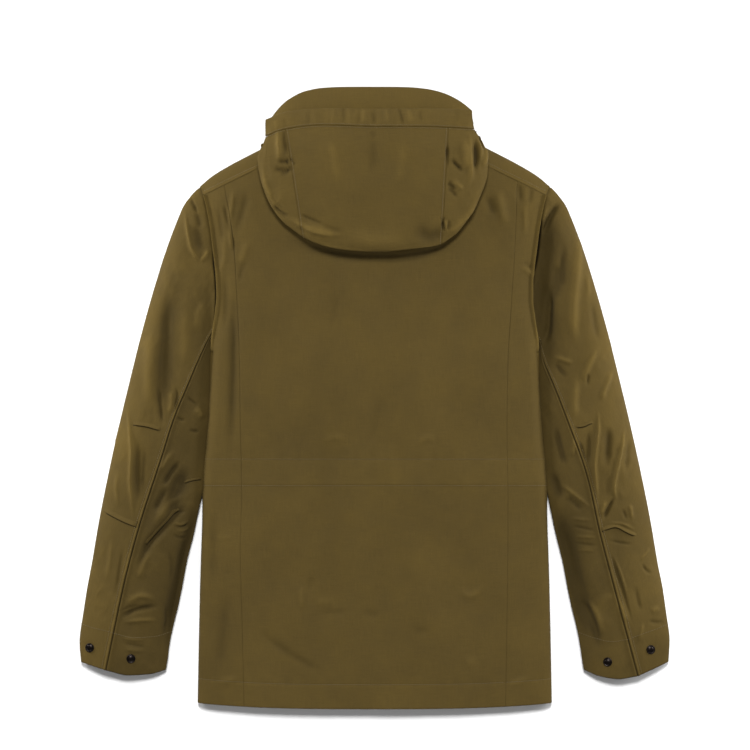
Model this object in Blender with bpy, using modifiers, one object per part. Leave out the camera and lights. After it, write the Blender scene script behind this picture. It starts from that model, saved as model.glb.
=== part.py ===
"""A hooded shell jacket, closed at the front and laid flat with its back upward.

Measures are in millimetres and become metres where a mesh is made. `across` runs from the centre back to a
side, `up` from the lowest point of the hem to the top of the collar, and z from the surface that it lies on.
Every cloth piece is a loft: a table or a formula gives its sections, and a Solidify wall is added inside.
"""

import math

import bpy
import numpy as np
from mathutils import Vector

MM = 0.001
LENGTH = 846.0  # lowest point of the hem to the top of the collar
WALL = 1.4
SEAM = 0.2  # how far each piece stays from a seam line, so 0.4 between two pieces
ROUND_SEAM = 0.4  # the same where the cloth turns at the seam: along the sides and down the sleeves
CENTRE_FRONT = 5.6  # where the fronts and the collar stop beside the zip
FOLD_R = 8.0  # height of the outermost line of a folded side
FOLD_TOP = 15.0  # how far in from a fold the upper layer reaches its full height
FOLD_UNDER = 8.0  # how far in from a fold the lower layer lies on the floor
SHOULDER_TOP = 42.0  # the same as FOLD_TOP, for the soft fold over the shoulders
UNDERARM = 485.5
ARMHOLE_TOP = 697.7  # where the armhole seam meets the shoulder seam
ARMHOLE_Z = 17.0  # height of the armhole seam
ARCH = 50.0  # how far above the underarm the armhole seam has that height
ARMHOLE_FLAT = 640.0  # above this the armhole seam takes the height of the back's own rounded edge
LEVEL_UP = 400.0  # above this the sections of the back rise toward its middle
PRINCESS_TOP = 712.0  # about where the seam beside the centre back meets the shoulder seam
SIDES = {"left": -1, "right": 1}
OVER_FOLD = 5  # sections of a front from the shoulder fold to its seam
SLEEVE_TURN = 5  # the armhole's points from the underarm up to the start of the sleeve's seam

# The back's crown: its height above the floor along the centre line.
CROWN = (  # up, height
    (0.0, 23.0),
    (150.0, 25.0),
    (330.0, 27.5),
    (560.0, 29.0),
    (740.0, 28.0),
    (846.0, 25.5),
)
# Half width of the body, at its folded side and then along the armhole seam.
BODY = (  # up, across
    (0.0, 241.0),
    (104.7, 239.0),
    (170.0, 237.5),
    (251.6, 234.8),
    (311.4, 233.0),
    (364.5, 228.2),
    (414.8, 224.9),
    (485.5, 220.7),
    (516.8, 218.7),
    (567.1, 214.6),
    (597.0, 216.6),
    (627.0, 220.3),
    (658.2, 224.4),
    (682.7, 229.0),
    (697.7, 232.6),
)
# The seam between the centre back and each side back.
PRINCESS = (  # up, left across, right across
    (0.0, 177.5, 177.5),
    (130.6, 180.6, 179.6),
    (202.6, 182.6, 180.4),
    (287.0, 180.6, 180.6),
    (383.5, 182.4, 179.3),
    (491.0, 184.3, 181.6),
    (552.2, 187.0, 185.6),
    (635.0, 192.4, 190.4),
    (720.0, 205.5, 193.5),
)
# The outermost line of the shoulder fold, from the neck to the armhole seam.
SHOULDER = (  # across, up
    (134.0, 772.0),
    (162.5, 757.5),
    (193.8, 741.2),
    (221.0, 724.9),
    (238.0, 710.6),
)
NECK_SEAM = (138.0, 744.0)  # where the shoulder seam meets the collar: across, up
NECK_BACK = 738.0  # the collar seam at the centre back
NECK_FRONT = (  # the collar seam on the fronts: across, up
    (CENTRE_FRONT, 690.0),
    (48.0, 697.0),
    (88.0, 718.0),
    (117.0, 744.0),
    (134.0, 772.0),
)
# The outer edge of a sleeve.
SLEEVE_OUTER = (  # up, across
    (710.6, 238.0),
    (692.2, 255.0),
    (659.6, 270.6),
    (627.0, 282.9),
    (578.0, 298.5),
    (512.7, 316.9),
    (447.4, 333.2),
    (382.2, 348.8),
    (316.9, 363.1),
    (251.6, 376.0),
    (202.6, 384.2),
    (137.4, 395.8),
    (104.7, 399.4),
    (72.1, 402.4),
    (62.0, 399.0),
)
# The inner edge of a sleeve where it has left the body's side.
SLEEVE_INNER = (  # up, across
    (300.0, 235.5),
    (277.4, 238.4),
    (243.4, 244.8),
    (202.6, 255.0),
    (170.0, 261.1),
    (137.4, 267.9),
    (104.7, 276.1),
    (74.8, 280.8),
    (52.0, 284.4),
)
LEAVES_SIDE = 290.0  # above this a sleeve lies along the body's side
SIDE_GAP = 1.0  # between the two folds there
# The seam down the back of each sleeve, from the armhole to the cuff.
SLEEVE_SEAM = {  # up, across
    "left": (
        (516.8, 218.7),
        (482.8, 236.0),
        (435.2, 256.4),
        (397.1, 272.0),
        (341.4, 289.7),
        (251.6, 318.9),
        (180.9, 338.0),
        (112.9, 352.9),
        (53.0, 365.4),
    ),
    "right": (
        (506.0, 219.4),
        (476.0, 228.0),
        (435.2, 245.4),
        (389.0, 263.2),
        (319.6, 287.6),
        (235.3, 306.7),
        (183.6, 320.3),
        (112.9, 339.3),
        (45.0, 357.6),
    ),
}
# The sections of a sleeve: how far up each one meets the outer edge, the seam and the inner edge, and its
# height. The first is the armhole, and the last is the cuff.
SLEEVE_SECTIONS = (  # outer, seam, inner, height
    (710.6, None, UNDERARM, 17.0),
    (684.0, 502.0, 476.0, 20.0),
    (652.0, 482.0, 462.0, 23.0),
    (610.0, 458.0, 442.0, 25.0),
    (562.0, 432.0, 416.0, 26.0),
    (514.0, 403.0, 386.0, 27.0),
    (466.0, 372.0, 353.0, 27.5),
    (420.0, 340.0, 320.0, 28.0),
    (376.0, 308.0, 286.0, 28.0),
    (332.0, 276.0, 252.0, 27.5),
    (289.0, 243.0, 218.0, 27.0),
    (247.0, 210.0, 185.0, 26.5),
    (206.0, 176.0, 154.0, 26.0),
    (166.0, 143.0, 124.0, 25.0),
    (128.0, 111.0, 96.0, 23.5),
    (94.0, 80.0, 72.0, 22.0),
    (64.0, None, 53.5, 20.0),
)
# Where a sleeve's pieces have a section, counted in rows of that table.
SLEEVE_PLACES = (*(n / 2 for n in range(27)), 14.0, 15.0, 16.0)
SLEEVE_ROUND = 72.0  # how far in from its inner fold a sleeve reaches its full height
SLEEVE_TOP = 50.0  # the same from its outer fold
# The largest folds of the upper layer, as soft troughs and ridges along lines.
FOLDS = (  # rise, half width, x and up of points along it
    (-5.0, 10.0, ((-238.0, 668.0), (-231.0, 635.0), (-229.0, 600.0), (-226.0, 530.0))),
    (-4.5, 12.0, ((-268.0, 575.0), (-278.0, 491.0), (-285.0, 380.0))),
    (2.0, 11.0, ((-303.0, 520.0), (-307.0, 461.0), (-306.0, 390.0))),
    (-3.5, 10.0, ((-250.0, 350.0), (-278.0, 313.0), (-300.0, 270.0))),
    (-4.5, 10.0, ((-249.0, 277.0), (-284.0, 243.0), (-322.0, 180.0))),
    (-3.0, 9.0, ((-345.0, 120.0), (-312.0, 133.0), (-276.0, 140.0))),
    (-5.5, 10.0, ((250.0, 690.0), (236.0, 640.0), (235.0, 560.0), (226.0, 500.0))),
    (2.5, 11.0, ((274.0, 628.0), (272.0, 562.0), (270.0, 488.0))),
    (-2.5, 10.0, ((292.0, 500.0), (288.0, 440.0), (284.0, 380.0))),
    (3.0, 10.0, ((320.0, 465.0), (306.0, 400.0), (302.0, 280.0))),
    (-3.0, 9.0, ((300.0, 215.0), (330.0, 214.0), (362.0, 206.0))),
    (-2.5, 11.0, ((-196.0, 617.0), (-194.0, 488.0), (-202.0, 320.0))),
)
CUFF_SAG = 7.5  # how far the middle of the under sleeve's hem hangs below its ends
# The edge of the dropped hood, from the left end of its casing round to the right end.
HOOD_EDGE = (  # x, up
    (-147.9, 777.9),
    (-153.3, 765.7),
    (-158.8, 750.7),
    (-157.4, 733.0),
    (-153.3, 714.0),
    (-145.2, 692.2),
    (-135.7, 675.9),
    (-124.8, 662.3),
    (-101.7, 643.3),
    (-60.9, 627.0),
    (0.3, 620.8),
    (54.7, 625.6),
    (88.7, 631.0),
    (105.0, 640.6),
    (118.7, 655.5),
    (129.5, 671.8),
    (140.4, 690.9),
    (149.9, 712.6),
    (154.0, 738.5),
    (153.6, 751.0),
    (148.6, 767.0),
    (135.0, 787.4),
)
# The line where the hood's panels meet its casing, and the casing's own free edge.
HOOD_MOUTH = (  # x, up of the seam, up of the free edge
    (-147.2, 777.9, 801.0),
    (-124.8, 786.1, 810.5),
    (-101.7, 790.2, 814.0),
    (0.0, 790.8, 815.5),
    (99.6, 789.5, 815.5),
    (135.0, 787.4, 814.5),
)
HOOD_PANELS = (  # name, x of its two seams at the casing, place of their ends along the edge
    ("hood_side_left", -147.2, -120.7, 1.0, 8.1),
    ("hood_center", -120.7, 99.6, 8.1, 12.1),
    ("hood_side_right", 99.6, 135.0, 12.1, 20.3),
)
HOOD_TOP = 56.0  # the highest point of the hood
HOOD_LOW = 47.0  # its height near its lower edge
HOOD_MID = 10.5  # its outermost line, above the cloth below it
HOOD_ROUND = 30.0  # how far in from its edge it is rounded
HOOD_TUCK = 7.0  # radius of the turn under its edge
HOOD_SEAM = 0.5  # how far its panels stay from their seams at the edge, where the wall turns under
HOOD_GAP = 0.6  # under the folded layers inside it
LAYERS_DEEP = 3.2  # from its outer cloth down to those layers
CASING_R = 3.0  # of the fold along the casing's free edge
CASING_LEAN = 5.0  # how far the free edge's right end lies in from its end at the seam
COLLAR_R = 9.0  # height of the fold at each end of the collar
COLLAR_TOP = 14.0  # height of the collar's free edge behind the neck
COLLAR_TIP = {"left": (141.0, 804.0, 5.0), "right": (132.5, 813.5, 3.9)}  # across, up, power of the arc
ZIP_TOP = 766.0  # the top of the zip's tape, with its slider above
COLLAR_FRONT = 785.0  # the collar's top edge beside the zip
SNAP_R = 6.3
SNAP_H = 2.4
SNAP_GAP = 0.6  # between a snap's back and the cloth
SNAPS = (  # side, section, share of the way from the seam, outward piece or not
    ("left", 15.17, 0.63, True),
    ("left", 15.32, 0.38, False),
    ("right", 15.17, 0.475, True),
    ("right", 15.43, 0.51, False),
)
OLIVE = (0.106, 0.073, 0.023)
DARK_METAL = (0.012, 0.009, 0.007)
ZIP_BROWN = (0.03, 0.022, 0.012)


def curve(rows, place, column=1):
    """A smooth line through one column of a table, read at a place of its first column."""
    table = np.array([[float(v) for v in row] for row in rows])
    table = table[np.argsort(table[:, 0])]
    x, y = table[:, 0], table[:, column]
    slope = np.gradient(y, x)
    place = np.clip(place, x[0], x[-1])
    i = np.clip(np.searchsorted(x, place) - 1, 0, len(x) - 2)
    step = x[i + 1] - x[i]
    t = (place - x[i]) / step
    start = (1 + 2 * t) * (1 - t) ** 2 * y[i] + t * (1 - t) ** 2 * step * slope[i]
    return start + t * t * (3 - 2 * t) * y[i + 1] + t * t * (t - 1) * step * slope[i + 1]


def along(points, place):
    """A smooth line through points, read at a place counted in points."""
    numbered = [(n, *p) for n, p in enumerate(points)]
    return np.array([curve(numbered, place, c + 1) for c in range(len(points[0]))])


def bend(share, power=0.5):
    """The height of a rounded edge, from 0 at its outermost line to 1 where it is flat."""
    share = np.clip(share, 0.0, 1.0)
    return (1 - (1 - share) ** 2) ** power


def mix(a, b, t):
    return a + (b - a) * t


def fan(count):
    """Places from 0 to 1 that lie closest together near 0, as on a round edge."""
    return 1 - np.cos(np.linspace(0, math.pi / 2, count))


def hem_up(across):
    return 0.6 + 8.0 * (abs(across) / 241.0) ** 3


def shoulder_seam_up(across):
    share = (across - NECK_SEAM[0]) / (curve(BODY, ARMHOLE_TOP) - NECK_SEAM[0])
    return mix(NECK_SEAM[1], ARMHOLE_TOP, share)


def back_top_up(across):
    """The upper edge of the back: the collar seam, then the shoulder seam."""
    across = abs(across)
    if across < NECK_SEAM[0]:
        return mix(NECK_BACK, NECK_SEAM[1], (across / NECK_SEAM[0]) ** 2)
    return shoulder_seam_up(across)


def crown(x, up):
    """Height of the laid body without its rounded edges."""
    wide = curve(BODY, min(up, ARMHOLE_TOP))
    return curve(CROWN, up) * (1 - 0.2 * min(abs(x) / wide, 1.0) ** 2.5)


def armhole_z(up):
    """Height of the armhole seam on the upper layer: it rises from the fold at the underarm."""
    return FOLD_R + (ARMHOLE_Z - FOLD_R) * bend((up - UNDERARM) / ARCH)


def armhole_under_z(up):
    return FOLD_R * (1 - bend((up - UNDERARM) / (1.5 * FOLD_UNDER)))


def back_z(x, up):
    """Height of the upper layer of the body."""
    inside = curve(BODY, min(up, ARMHOLE_TOP)) - abs(x)
    above = np.clip((up - UNDERARM) / 60.0, 0.0, 1.0)
    edge = FOLD_R if up <= UNDERARM else armhole_z(up)
    reach = FOLD_TOP * (1 + above)
    z = edge + (crown(x, up) - edge) * bend(inside / reach, 0.5 + 0.5 * above)
    if abs(x) < SHOULDER[0][0]:
        to_fold = SHOULDER[0][1] + 2 * (SHOULDER[0][0] - abs(x)) - up
    else:
        to_fold = curve(SHOULDER, abs(x)) - up
    return FOLD_R + (z - FOLD_R) * bend(0.9 * to_fold / SHOULDER_TOP)


def fold_lines():
    """Each fold as its rise, its half width and close points along it."""
    made = []
    for rise, wide, points in FOLDS:
        places = np.linspace(0, len(points) - 1, 8 * (len(points) - 1) + 1)
        made.append((rise, wide, np.array([along(points, t) for t in places])))
    return made


FOLD_LINES = fold_lines()


def fold_height(x, up):
    """How far the folds lift or lower the upper layer."""
    total = 0.0
    for rise, wide, line in FOLD_LINES:
        distance = np.linalg.norm(line - (x, up), axis=1)
        if distance.min() < 3 * wide:
            share = distance.argmin() / (len(line) - 1)
            ends = min(1.0, 4 * share, 4 * (1 - share))
            total += rise * ends * math.exp(-((distance.min() / wide) ** 2))
    return total


def with_folds(rows):
    """The same sections with the folds on their upper layer, and none at its edges."""
    lifted = []
    for row in rows:
        lifted.append([])
        for x, up, z in row:
            free = np.clip((z - FOLD_R - 2.0) / 6.0, 0.0, 1.0)
            lifted[-1].append((x, up, z + free * fold_height(x, up) if free > 0 else z))
    return lifted


def under_z(up, inside):
    """Height of the lower layer of the body, which lies on the floor but for its edge."""
    edge = FOLD_R if up <= UNDERARM else armhole_under_z(up)
    return edge * (1 - bend(inside / FOLD_UNDER))


# The body -----------------------------------------------------------------------------------------------------


def seam_start(side):
    """Where the seam of a sleeve leaves the armhole."""
    return SLEEVE_SEAM[side][0][0]


def armhole_ups(side):
    """How far up the armhole's points are, from the underarm to the shoulder seam."""
    start = seam_start(side)
    low = [mix(UNDERARM, start, t) for t in fan(6)]
    return low + [mix(start, ARMHOLE_TOP, t) for t in np.linspace(0, 1, 9)[1:]]


def body_ups(side):
    """How far up the body's sections meet its side and its armhole."""
    low = np.linspace(0, UNDERARM, 13)[:-1]
    return [float(v) for v in low] + armhole_ups(side)


def shoulder_wrap(start, seam):
    """Sections round the shoulder fold: from the floor to its outermost line, and over to its seam."""
    under = [(start + np.array([-2.0, -FOLD_UNDER]) * f, FOLD_R * (1 - bend(f))) for f in fan(4)[:0:-1]]
    over = [(mix(start, seam, f), None) for f in fan(OVER_FOLD)]
    return under + over


def on_body(point, z, side):
    """A point with its height, from (across, up) and the side that it is on."""
    x = SIDES[side] * point[0]
    return (x, point[1], back_z(x, point[1]) if z is None else z)


def armhole(side):
    """The whole armhole seam: up the back from the underarm, over the shoulder and down the front."""
    top = [(float(curve(BODY, up)), up) for up in armhole_ups(side)]
    wrap = shoulder_wrap(np.array(SHOULDER[-1]), np.array(top[-1]))
    over = [on_body(p, None if z is None else z, side) for p, z in reversed(wrap)]
    back = [on_body(p, None, side) for p in top[:-1]]
    front = [on_body(p, armhole_under_z(p[1]), side) for p in reversed(top[:-1])]
    return back + over, front


def hem_or(up, across):
    """Lifts the lowest sections to the hem's own curve."""
    low = hem_up(across)
    return low + up * (UNDERARM - low) / UNDERARM if up < UNDERARM else up


def princess_place(side, up):
    """Where a section of the body meets the seam beside the centre back: across and up."""
    column = 1 if side == "left" else 2
    top = shoulder_seam_up(curve(PRINCESS, PRINCESS_TOP, column))
    share = max(0.0, (up - LEVEL_UP) / (ARMHOLE_TOP - LEVEL_UP))
    lifted = up + (top - ARMHOLE_TOP) * share**2
    return curve(PRINCESS, lifted, column), lifted


def side_back(side):
    rows = []
    for up in body_ups(side):
        on_armhole = up > UNDERARM
        outer = curve(BODY, up) - (SEAM if on_armhole else 0.0)
        inner, inner_up = princess_place(side, up)
        row = []
        for f in (0.0, 0.35, *(1 - fan(6)[:0:-1] * 0.42), 1.0):
            across = mix(inner + SEAM, outer, f)
            level = hem_or(mix(inner_up, up, f), across) - (SEAM if up >= ARMHOLE_TOP else 0.0)
            x = SIDES[side] * across
            z = back_z(x, level)
            if f == 1.0 and not on_armhole:
                z += ROUND_SEAM
            elif f == 1.0 and up < ARMHOLE_FLAT:
                z = armhole_z(up)
            row.append((x, level, z))
        rows.append(row)
    return rows


def center_back():
    rows = []
    neck = NECK_SEAM[0]
    for left_up, right_up in zip(body_ups("left"), body_ups("right")):
        left, left_level = princess_place("left", left_up)
        right, right_level = princess_place("right", right_up)
        ends = (-left + SEAM, right - SEAM)
        inner = [neck * f for f in (-1, -0.8, -0.6, -0.4, -0.2, 0, 0.2, 0.4, 0.6, 0.8, 1)]
        xs = [ends[0], mix(ends[0], -neck, 0.5), *inner, mix(ends[1], neck, 0.5), ends[1]]
        last = left_up >= ARMHOLE_TOP
        row = []
        for x in xs:
            t = (x - ends[0]) / (ends[1] - ends[0])
            share = mix(left_level, right_level, t) / mix(
                princess_place("left", ARMHOLE_TOP)[1], princess_place("right", ARMHOLE_TOP)[1], t
            )
            level = mix(hem_up(x), back_top_up(x), share) - (SEAM if last else 0.0)
            row.append((x, level, back_z(x, level)))
        rows.append(row)
    return rows


def neck_front(side):
    """The front's inner edge above the zip: the collar seam, then over the shoulder fold to its seam."""
    flat = [np.array([p[0], p[1]]) for p in NECK_FRONT[:-1]]
    wrap = shoulder_wrap(np.array(SHOULDER[0]), np.array(NECK_SEAM))
    return [on_body(p, 0.0, side) for p in flat] + [on_body(p, z, side) for p, z in wrap]


def front(side):
    """A front from its hem to its shoulder, and over the fold to the seam on the upper layer."""
    over, under = armhole(side)
    rise = [(float(curve(BODY, up)), up) for up in body_ups(side) if up < UNDERARM]
    wrap_count = len(shoulder_wrap(np.zeros(2), np.zeros(2)))
    outer = [(SIDES[side] * a, hem_or(up, a), FOLD_R - 1.4 * ROUND_SEAM) for a, up in rise]
    x, up, z = under[-1]
    outer.append((x, up, z - 1.4 * ROUND_SEAM))
    outer += list(reversed(under[:-1])) + list(reversed(over[-wrap_count:]))
    inner_edge = neck_front(side)
    low = len(outer) - len(inner_edge) + 1
    start = inner_edge[0]
    inner = [(start[0], mix(hem_up(0.0), start[1], i / (low - 1)), 0.0) for i in range(low)]
    inner += [(x, up, z) for x, up, z in inner_edge[1:]]
    rows = []
    sign = SIDES[side]
    for i, (a, b) in enumerate(zip(inner, outer)):
        row = []
        left_to_go = len(outer) - 1 - i
        last = left_to_go == 0
        for f in (0.0, 0.3, 0.6, 0.85, *(1 - fan(5)[:0:-1] * 0.04), 1.0):
            x, up = mix(a[0], b[0], f), mix(a[1], b[1], f)
            if left_to_go < wrap_count:
                chord = mix(SHOULDER[0][1], SHOULDER[-1][1], f)
                spread = mix(SHOULDER[0][0], SHOULDER[-1][0], f)
                up += 0.0 if last else curve(SHOULDER, spread) - chord
                z = back_z(x, up) if left_to_go < OVER_FOLD - 1 else mix(a[2], b[2], f)
            else:
                z = under_z(b[1], abs(b[0]) - abs(x)) if f < 1.0 else b[2]
            if f == 0.0:
                x = sign * (abs(x) + (SEAM if i >= low else 0.0))
            if f == 1.0 and b[1] > UNDERARM:
                x -= sign * SEAM
            row.append((x, up + (ROUND_SEAM if last else 0.0), max(z, 0.0)))
        rows.append(row)
    return rows


# The sleeves --------------------------------------------------------------------------------------------------


def inner_edge(up):
    """Half width where a sleeve's inner fold lies."""
    beside = curve(BODY, up) + SIDE_GAP
    free = curve(SLEEVE_INNER, up)
    t = np.clip((up - LEAVES_SIDE) / 20.0 + 0.5, 0.0, 1.0)
    return mix(free, beside, t)


def sleeve_rows(side):
    """The table of sections with the two ends of this side's seam put in, and its start evened out."""
    start, end = SLEEVE_SEAM[side][0][0], SLEEVE_SEAM[side][-1][0]
    shift = start - SLEEVE_SEAM["left"][0][0]
    rows = []
    for i, (outer, seam, inner, height) in enumerate(SLEEVE_SECTIONS):
        if seam is None:
            seam = start if i == 0 else end
        elif i < 4:
            seam += shift * (1 - i / 4)
        rows.append((outer, seam, inner, height))
    return rows


def sleeve_section(side, place):
    """One section, between whole rows of the table too: its three points (across, up) and its height."""
    outer_up, seam_up, inner_up, height = along(sleeve_rows(side), place)
    outer = np.array([curve(SLEEVE_OUTER, outer_up), outer_up])
    seam = np.array([curve(SLEEVE_SEAM[side], seam_up), seam_up])
    inner = np.array([inner_edge(inner_up), inner_up])
    return outer, seam, inner, height


def under_height(height, distance):
    """Height of the under sleeve on its upper layer, at a distance from its inner fold."""
    return FOLD_R + (height - FOLD_R) * bend(distance / SLEEVE_ROUND, 0.8)


def upper_sleeve_top(side, place, share):
    """A point of the upper layer of a sleeve's outer piece: share runs from its seam to its outer fold."""
    outer, seam, inner, height = sleeve_section(side, place)
    start = under_height(height, np.linalg.norm(seam - inner))
    reach = mix(SHOULDER_TOP, SLEEVE_TOP, min(place / 6.0, 1.0))
    point = mix(seam, outer, share)
    arch = max(0.0, 1 - place / 6.0) ** 1.3
    if arch > 0:
        loop = armhole_plan(side, share)
        chord = mix(armhole_plan(side, 0.0), armhole_plan(side, 1.0), share)
        point = point + arch * (loop - chord)
    to_fold = np.linalg.norm(point - outer)
    z = FOLD_R + (mix(start, height, min(1.0, share * 2)) - FOLD_R) * bend(to_fold / reach)
    return point, z


def armhole_plan(side, share):
    """The armhole seam of the upper layer seen from above: share runs from the sleeve's seam to the fold."""
    start = seam_start(side)
    reach = (SHOULDER[-1][1] - start)
    up = start + share * reach
    if up <= ARMHOLE_TOP:
        return np.array([curve(BODY, up), up])
    t = (up - ARMHOLE_TOP) / (SHOULDER[-1][1] - ARMHOLE_TOP)
    return mix(np.array([curve(BODY, ARMHOLE_TOP), ARMHOLE_TOP]), np.array(SHOULDER[-1]), t)


def sleeve_gap(section):
    """How far a sleeve's two pieces stay from their seam, wider where it starts on the steep armhole."""
    return ROUND_SEAM * (2.0 if section < 4 else 1.0)


def upper_sleeve(side):
    sign = SIDES[side]
    over, under = armhole(side)
    loop = over[SLEEVE_TURN:] + under[: len(under) - SLEEVE_TURN]
    first = [(x + sign * SEAM, up, z) for x, up, z in loop]
    for end in (0, -1):
        x, up, z = first[end]
        first[end] = (x + sign * ROUND_SEAM, up + 4 * ROUND_SEAM, z)
    crest = len(over) - SLEEVE_TURN - 4  # the point of the loop on the fold's outermost line
    start = seam_start(side)
    span = SHOULDER[-1][1] - start
    shares = [(p[1] - start) / span for p in loop[: crest + 1]]
    shares[-1] = 1.0
    below = [(p[1] - start) / span for p in loop[crest + 1 :]]
    rows = [first]
    for i in SLEEVE_PLACES[1:]:
        outer, seam, _, _ = sleeve_section(side, i)
        even = min(1.0, i / 6.0)
        long = np.linalg.norm(outer - seam)
        edge = [1 - f * min(0.5, FOLD_TOP / long) for f in fan(5)[:0:-1]]
        count = len(shares) - len(edge) - 1
        wanted = list(np.linspace(0, edge[0], count + 1)[:-1]) + edge + [1.0]
        low_edge = [1 - f * min(0.5, FOLD_UNDER / long) for f in fan(4)[1:]]
        low_wanted = low_edge + list(np.linspace(low_edge[-1], 0, len(below) - len(low_edge) + 1)[1:])
        row = []
        for own, want in zip(shares, wanted):
            share = mix(own, want, even)
            point, z = upper_sleeve_top(side, i, share)
            row.append((sign * (point[0] + (sleeve_gap(i) if share == 0 else 0)), point[1], z))
        for own, want in zip(below, low_wanted):
            share = mix(own, want, even)
            point, _ = upper_sleeve_top(side, i, share)
            z = FOLD_R * (1 - bend(np.linalg.norm(point - outer) / FOLD_UNDER))
            row.append((sign * (point[0] + (sleeve_gap(i) if want == 0 else 0)), point[1], z))
        rows.append(row)
    return rows


def under_sleeve(side):
    sign = SIDES[side]
    over, under = armhole(side)
    lower = under[len(under) - SLEEVE_TURN - 1 :]
    loop = over[SLEEVE_TURN::-1] + lower[-2::-1]
    first = [(x + sign * SEAM, up, z) for x, up, z in loop]
    for end in (0, -1):
        x, up, z = first[end]
        first[end] = (x, up - 2 * ROUND_SEAM, z)
    rows = [first]
    for i in SLEEVE_PLACES[1:]:
        _, seam, inner, height = sleeve_section(side, i)
        long = np.linalg.norm(seam - inner)
        near = min(0.6, FOLD_TOP * 1.4 / long)
        tops = [1.0, mix(near, 1.0, 0.5), *(fan(4)[:0:-1] * near), 0.0]
        low_near = min(0.5, FOLD_UNDER / long)
        lows = [*(fan(4)[1:] * low_near), mix(low_near, 1.0, 0.5), 1.0]
        sag = CUFF_SAG * max(0.0, i - (len(SLEEVE_SECTIONS) - 4)) / 3.0
        row = []
        for f, top in [(f, True) for f in tops] + [(f, False) for f in lows]:
            point = mix(inner, seam, f)
            distance = f * long
            if top:
                z = under_height(height, distance)
            else:
                z = FOLD_R * (1 - bend(distance / FOLD_UNDER))
            across = point[0] - (sleeve_gap(i) if f == 1.0 else 0.0)
            row.append((sign * across, point[1] - sag * 4 * f * (1 - f), z))
        rows.append(row)
    return rows


# The collar ---------------------------------------------------------------------------------------------------


def collar():
    """One strip from the zip round the neck and back to the zip, from the neck seam to its top edge."""
    lift = 2 * SEAM
    low, top = [], []
    neck = [NECK_SEAM[0] * f for f in (0.8, 0.6, 0.4, 0.2, 0, -0.2, -0.4, -0.6, -0.8)]
    middle = [(x, back_top_up(x) + lift, back_z(x, back_top_up(x))) for x in neck]
    for side in ("right", "left"):
        sign = SIDES[side]
        tip_x, tip_up, power = COLLAR_TIP[side]
        edge = neck_front(side)
        crest = len(edge) - 5
        near, far = [], []
        for i, (x, up, z) in enumerate(edge):
            near.append((x - sign * lift * (0.0 if i == 0 else 0.8), up + lift * 0.6, z))
            if i <= crest:
                f = i / crest
                z_top = COLLAR_R * (1 - bend((1 - f) * tip_x / FOLD_UNDER))
                far.append((sign * mix(CENTRE_FRONT, tip_x, f**0.7), mix(COLLAR_FRONT, tip_up, f**2), z_top))
            else:
                share = 1 - 0.16 * fan(5)[i - crest]
                far.append((sign * tip_x * share, None, None))
        low.append(near)
        top.append(far)
    bottom_row = low[0] + middle + list(reversed(low[1]))
    top_row = top[0] + [(x / NECK_SEAM[0] * 118.0, None, None) for x in neck] + list(reversed(top[1]))
    finished = []
    for x, up, z in top_row:
        if up is None:
            tip_x, tip_up, power = COLLAR_TIP["left" if x < 0 else "right"]
            share = min(abs(x) / tip_x, 1.0)
            up = LENGTH - (LENGTH - tip_up) * share**power
            z = COLLAR_R + (COLLAR_TOP - COLLAR_R) * bend((1 - share) * tip_x / 25.0)
        finished.append((x, up, z))
    rows = []
    for t in (0.0, 0.25, 0.5, 0.7, 0.85, 1.0):
        row = []
        for a, b in zip(bottom_row, finished):
            drop = t**2.5 if a[2] > COLLAR_R else t
            row.append((mix(a[0], b[0], t), mix(a[1], b[1], t), mix(a[2], b[2], drop)))
        rows.append(row)
    return rows


# The hood -----------------------------------------------------------------------------------------------------

EDGE_LINE = np.array([along(HOOD_EDGE, t) for t in np.linspace(0, len(HOOD_EDGE) - 1, 211)])


def from_edge(x, up):
    return float(np.linalg.norm(EDGE_LINE - np.array([x, up]), axis=1).min())


def rest_z(x, up):
    """What the dropped hood lies on: the crown of the back, and the collar beyond it."""
    return crown(min(abs(x), 215.0), min(up, LENGTH))


def hood_z(x, up):
    """Height of the dropped hood's outer cloth."""
    middle = rest_z(x, up) + HOOD_MID
    toward_mouth = np.clip((up - 640.0) / 100.0, 0.0, 1.0)
    full = mix(HOOD_LOW, HOOD_TOP, math.sin(toward_mouth * math.pi / 2)) - 7.0 * (x / 150.0) ** 2
    full -= 7.0 * np.clip((up - 740.0) / 50.0, 0.0, 1.0) ** 2
    return middle + (full - middle) * bend(from_edge(x, up) / HOOD_ROUND)


def mouth_point(x, share=0.0):
    seam_up, free_up = curve(HOOD_MOUTH, x, 1), curve(HOOD_MOUTH, x, 2)
    return np.array([x, mix(seam_up, free_up, share)])


def hood_column(x, place):
    """The two ends of a line down the hood, from its casing to its edge."""
    return mouth_point(x), along(HOOD_EDGE, place)


def hood_panel(x0, x1, place0, place1, count):
    """A panel of the hood's shell, from the casing over its rounded edge to a hem under that edge."""
    columns = []
    for t in np.linspace(0, 1, count):
        x = mix(x0 + SEAM, x1 - SEAM, t)
        place = mix(place0, place1, t)
        start, end = hood_column(x, place)
        if t in (0.0, 1.0):
            end = end + np.array([HOOD_SEAM if t == 0 else -HOOD_SEAM, 0.0])
        long = np.linalg.norm(end - start)
        near = min(0.7, HOOD_ROUND * 0.9 / long)
        column = []
        for f in (0.0, *(np.linspace(0, 1 - near, 5)[1:]), *(1 - fan(5)[3::-1] * near)):
            point = mix(start, end, f)
            if f == 0.0:
                point = point - np.array([0.0, ROUND_SEAM])
            column.append((*point, hood_z(*point)))
        inward = (start - end) / long
        for angle in (25, 50):
            turn = math.radians(angle)
            point = end + inward * HOOD_TUCK * (1 - math.cos(turn))
            column.append((*point, rest_z(*end) + HOOD_MID - 0.93 * HOOD_TUCK * math.sin(turn)))
        columns.append(column)
    return columns


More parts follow.
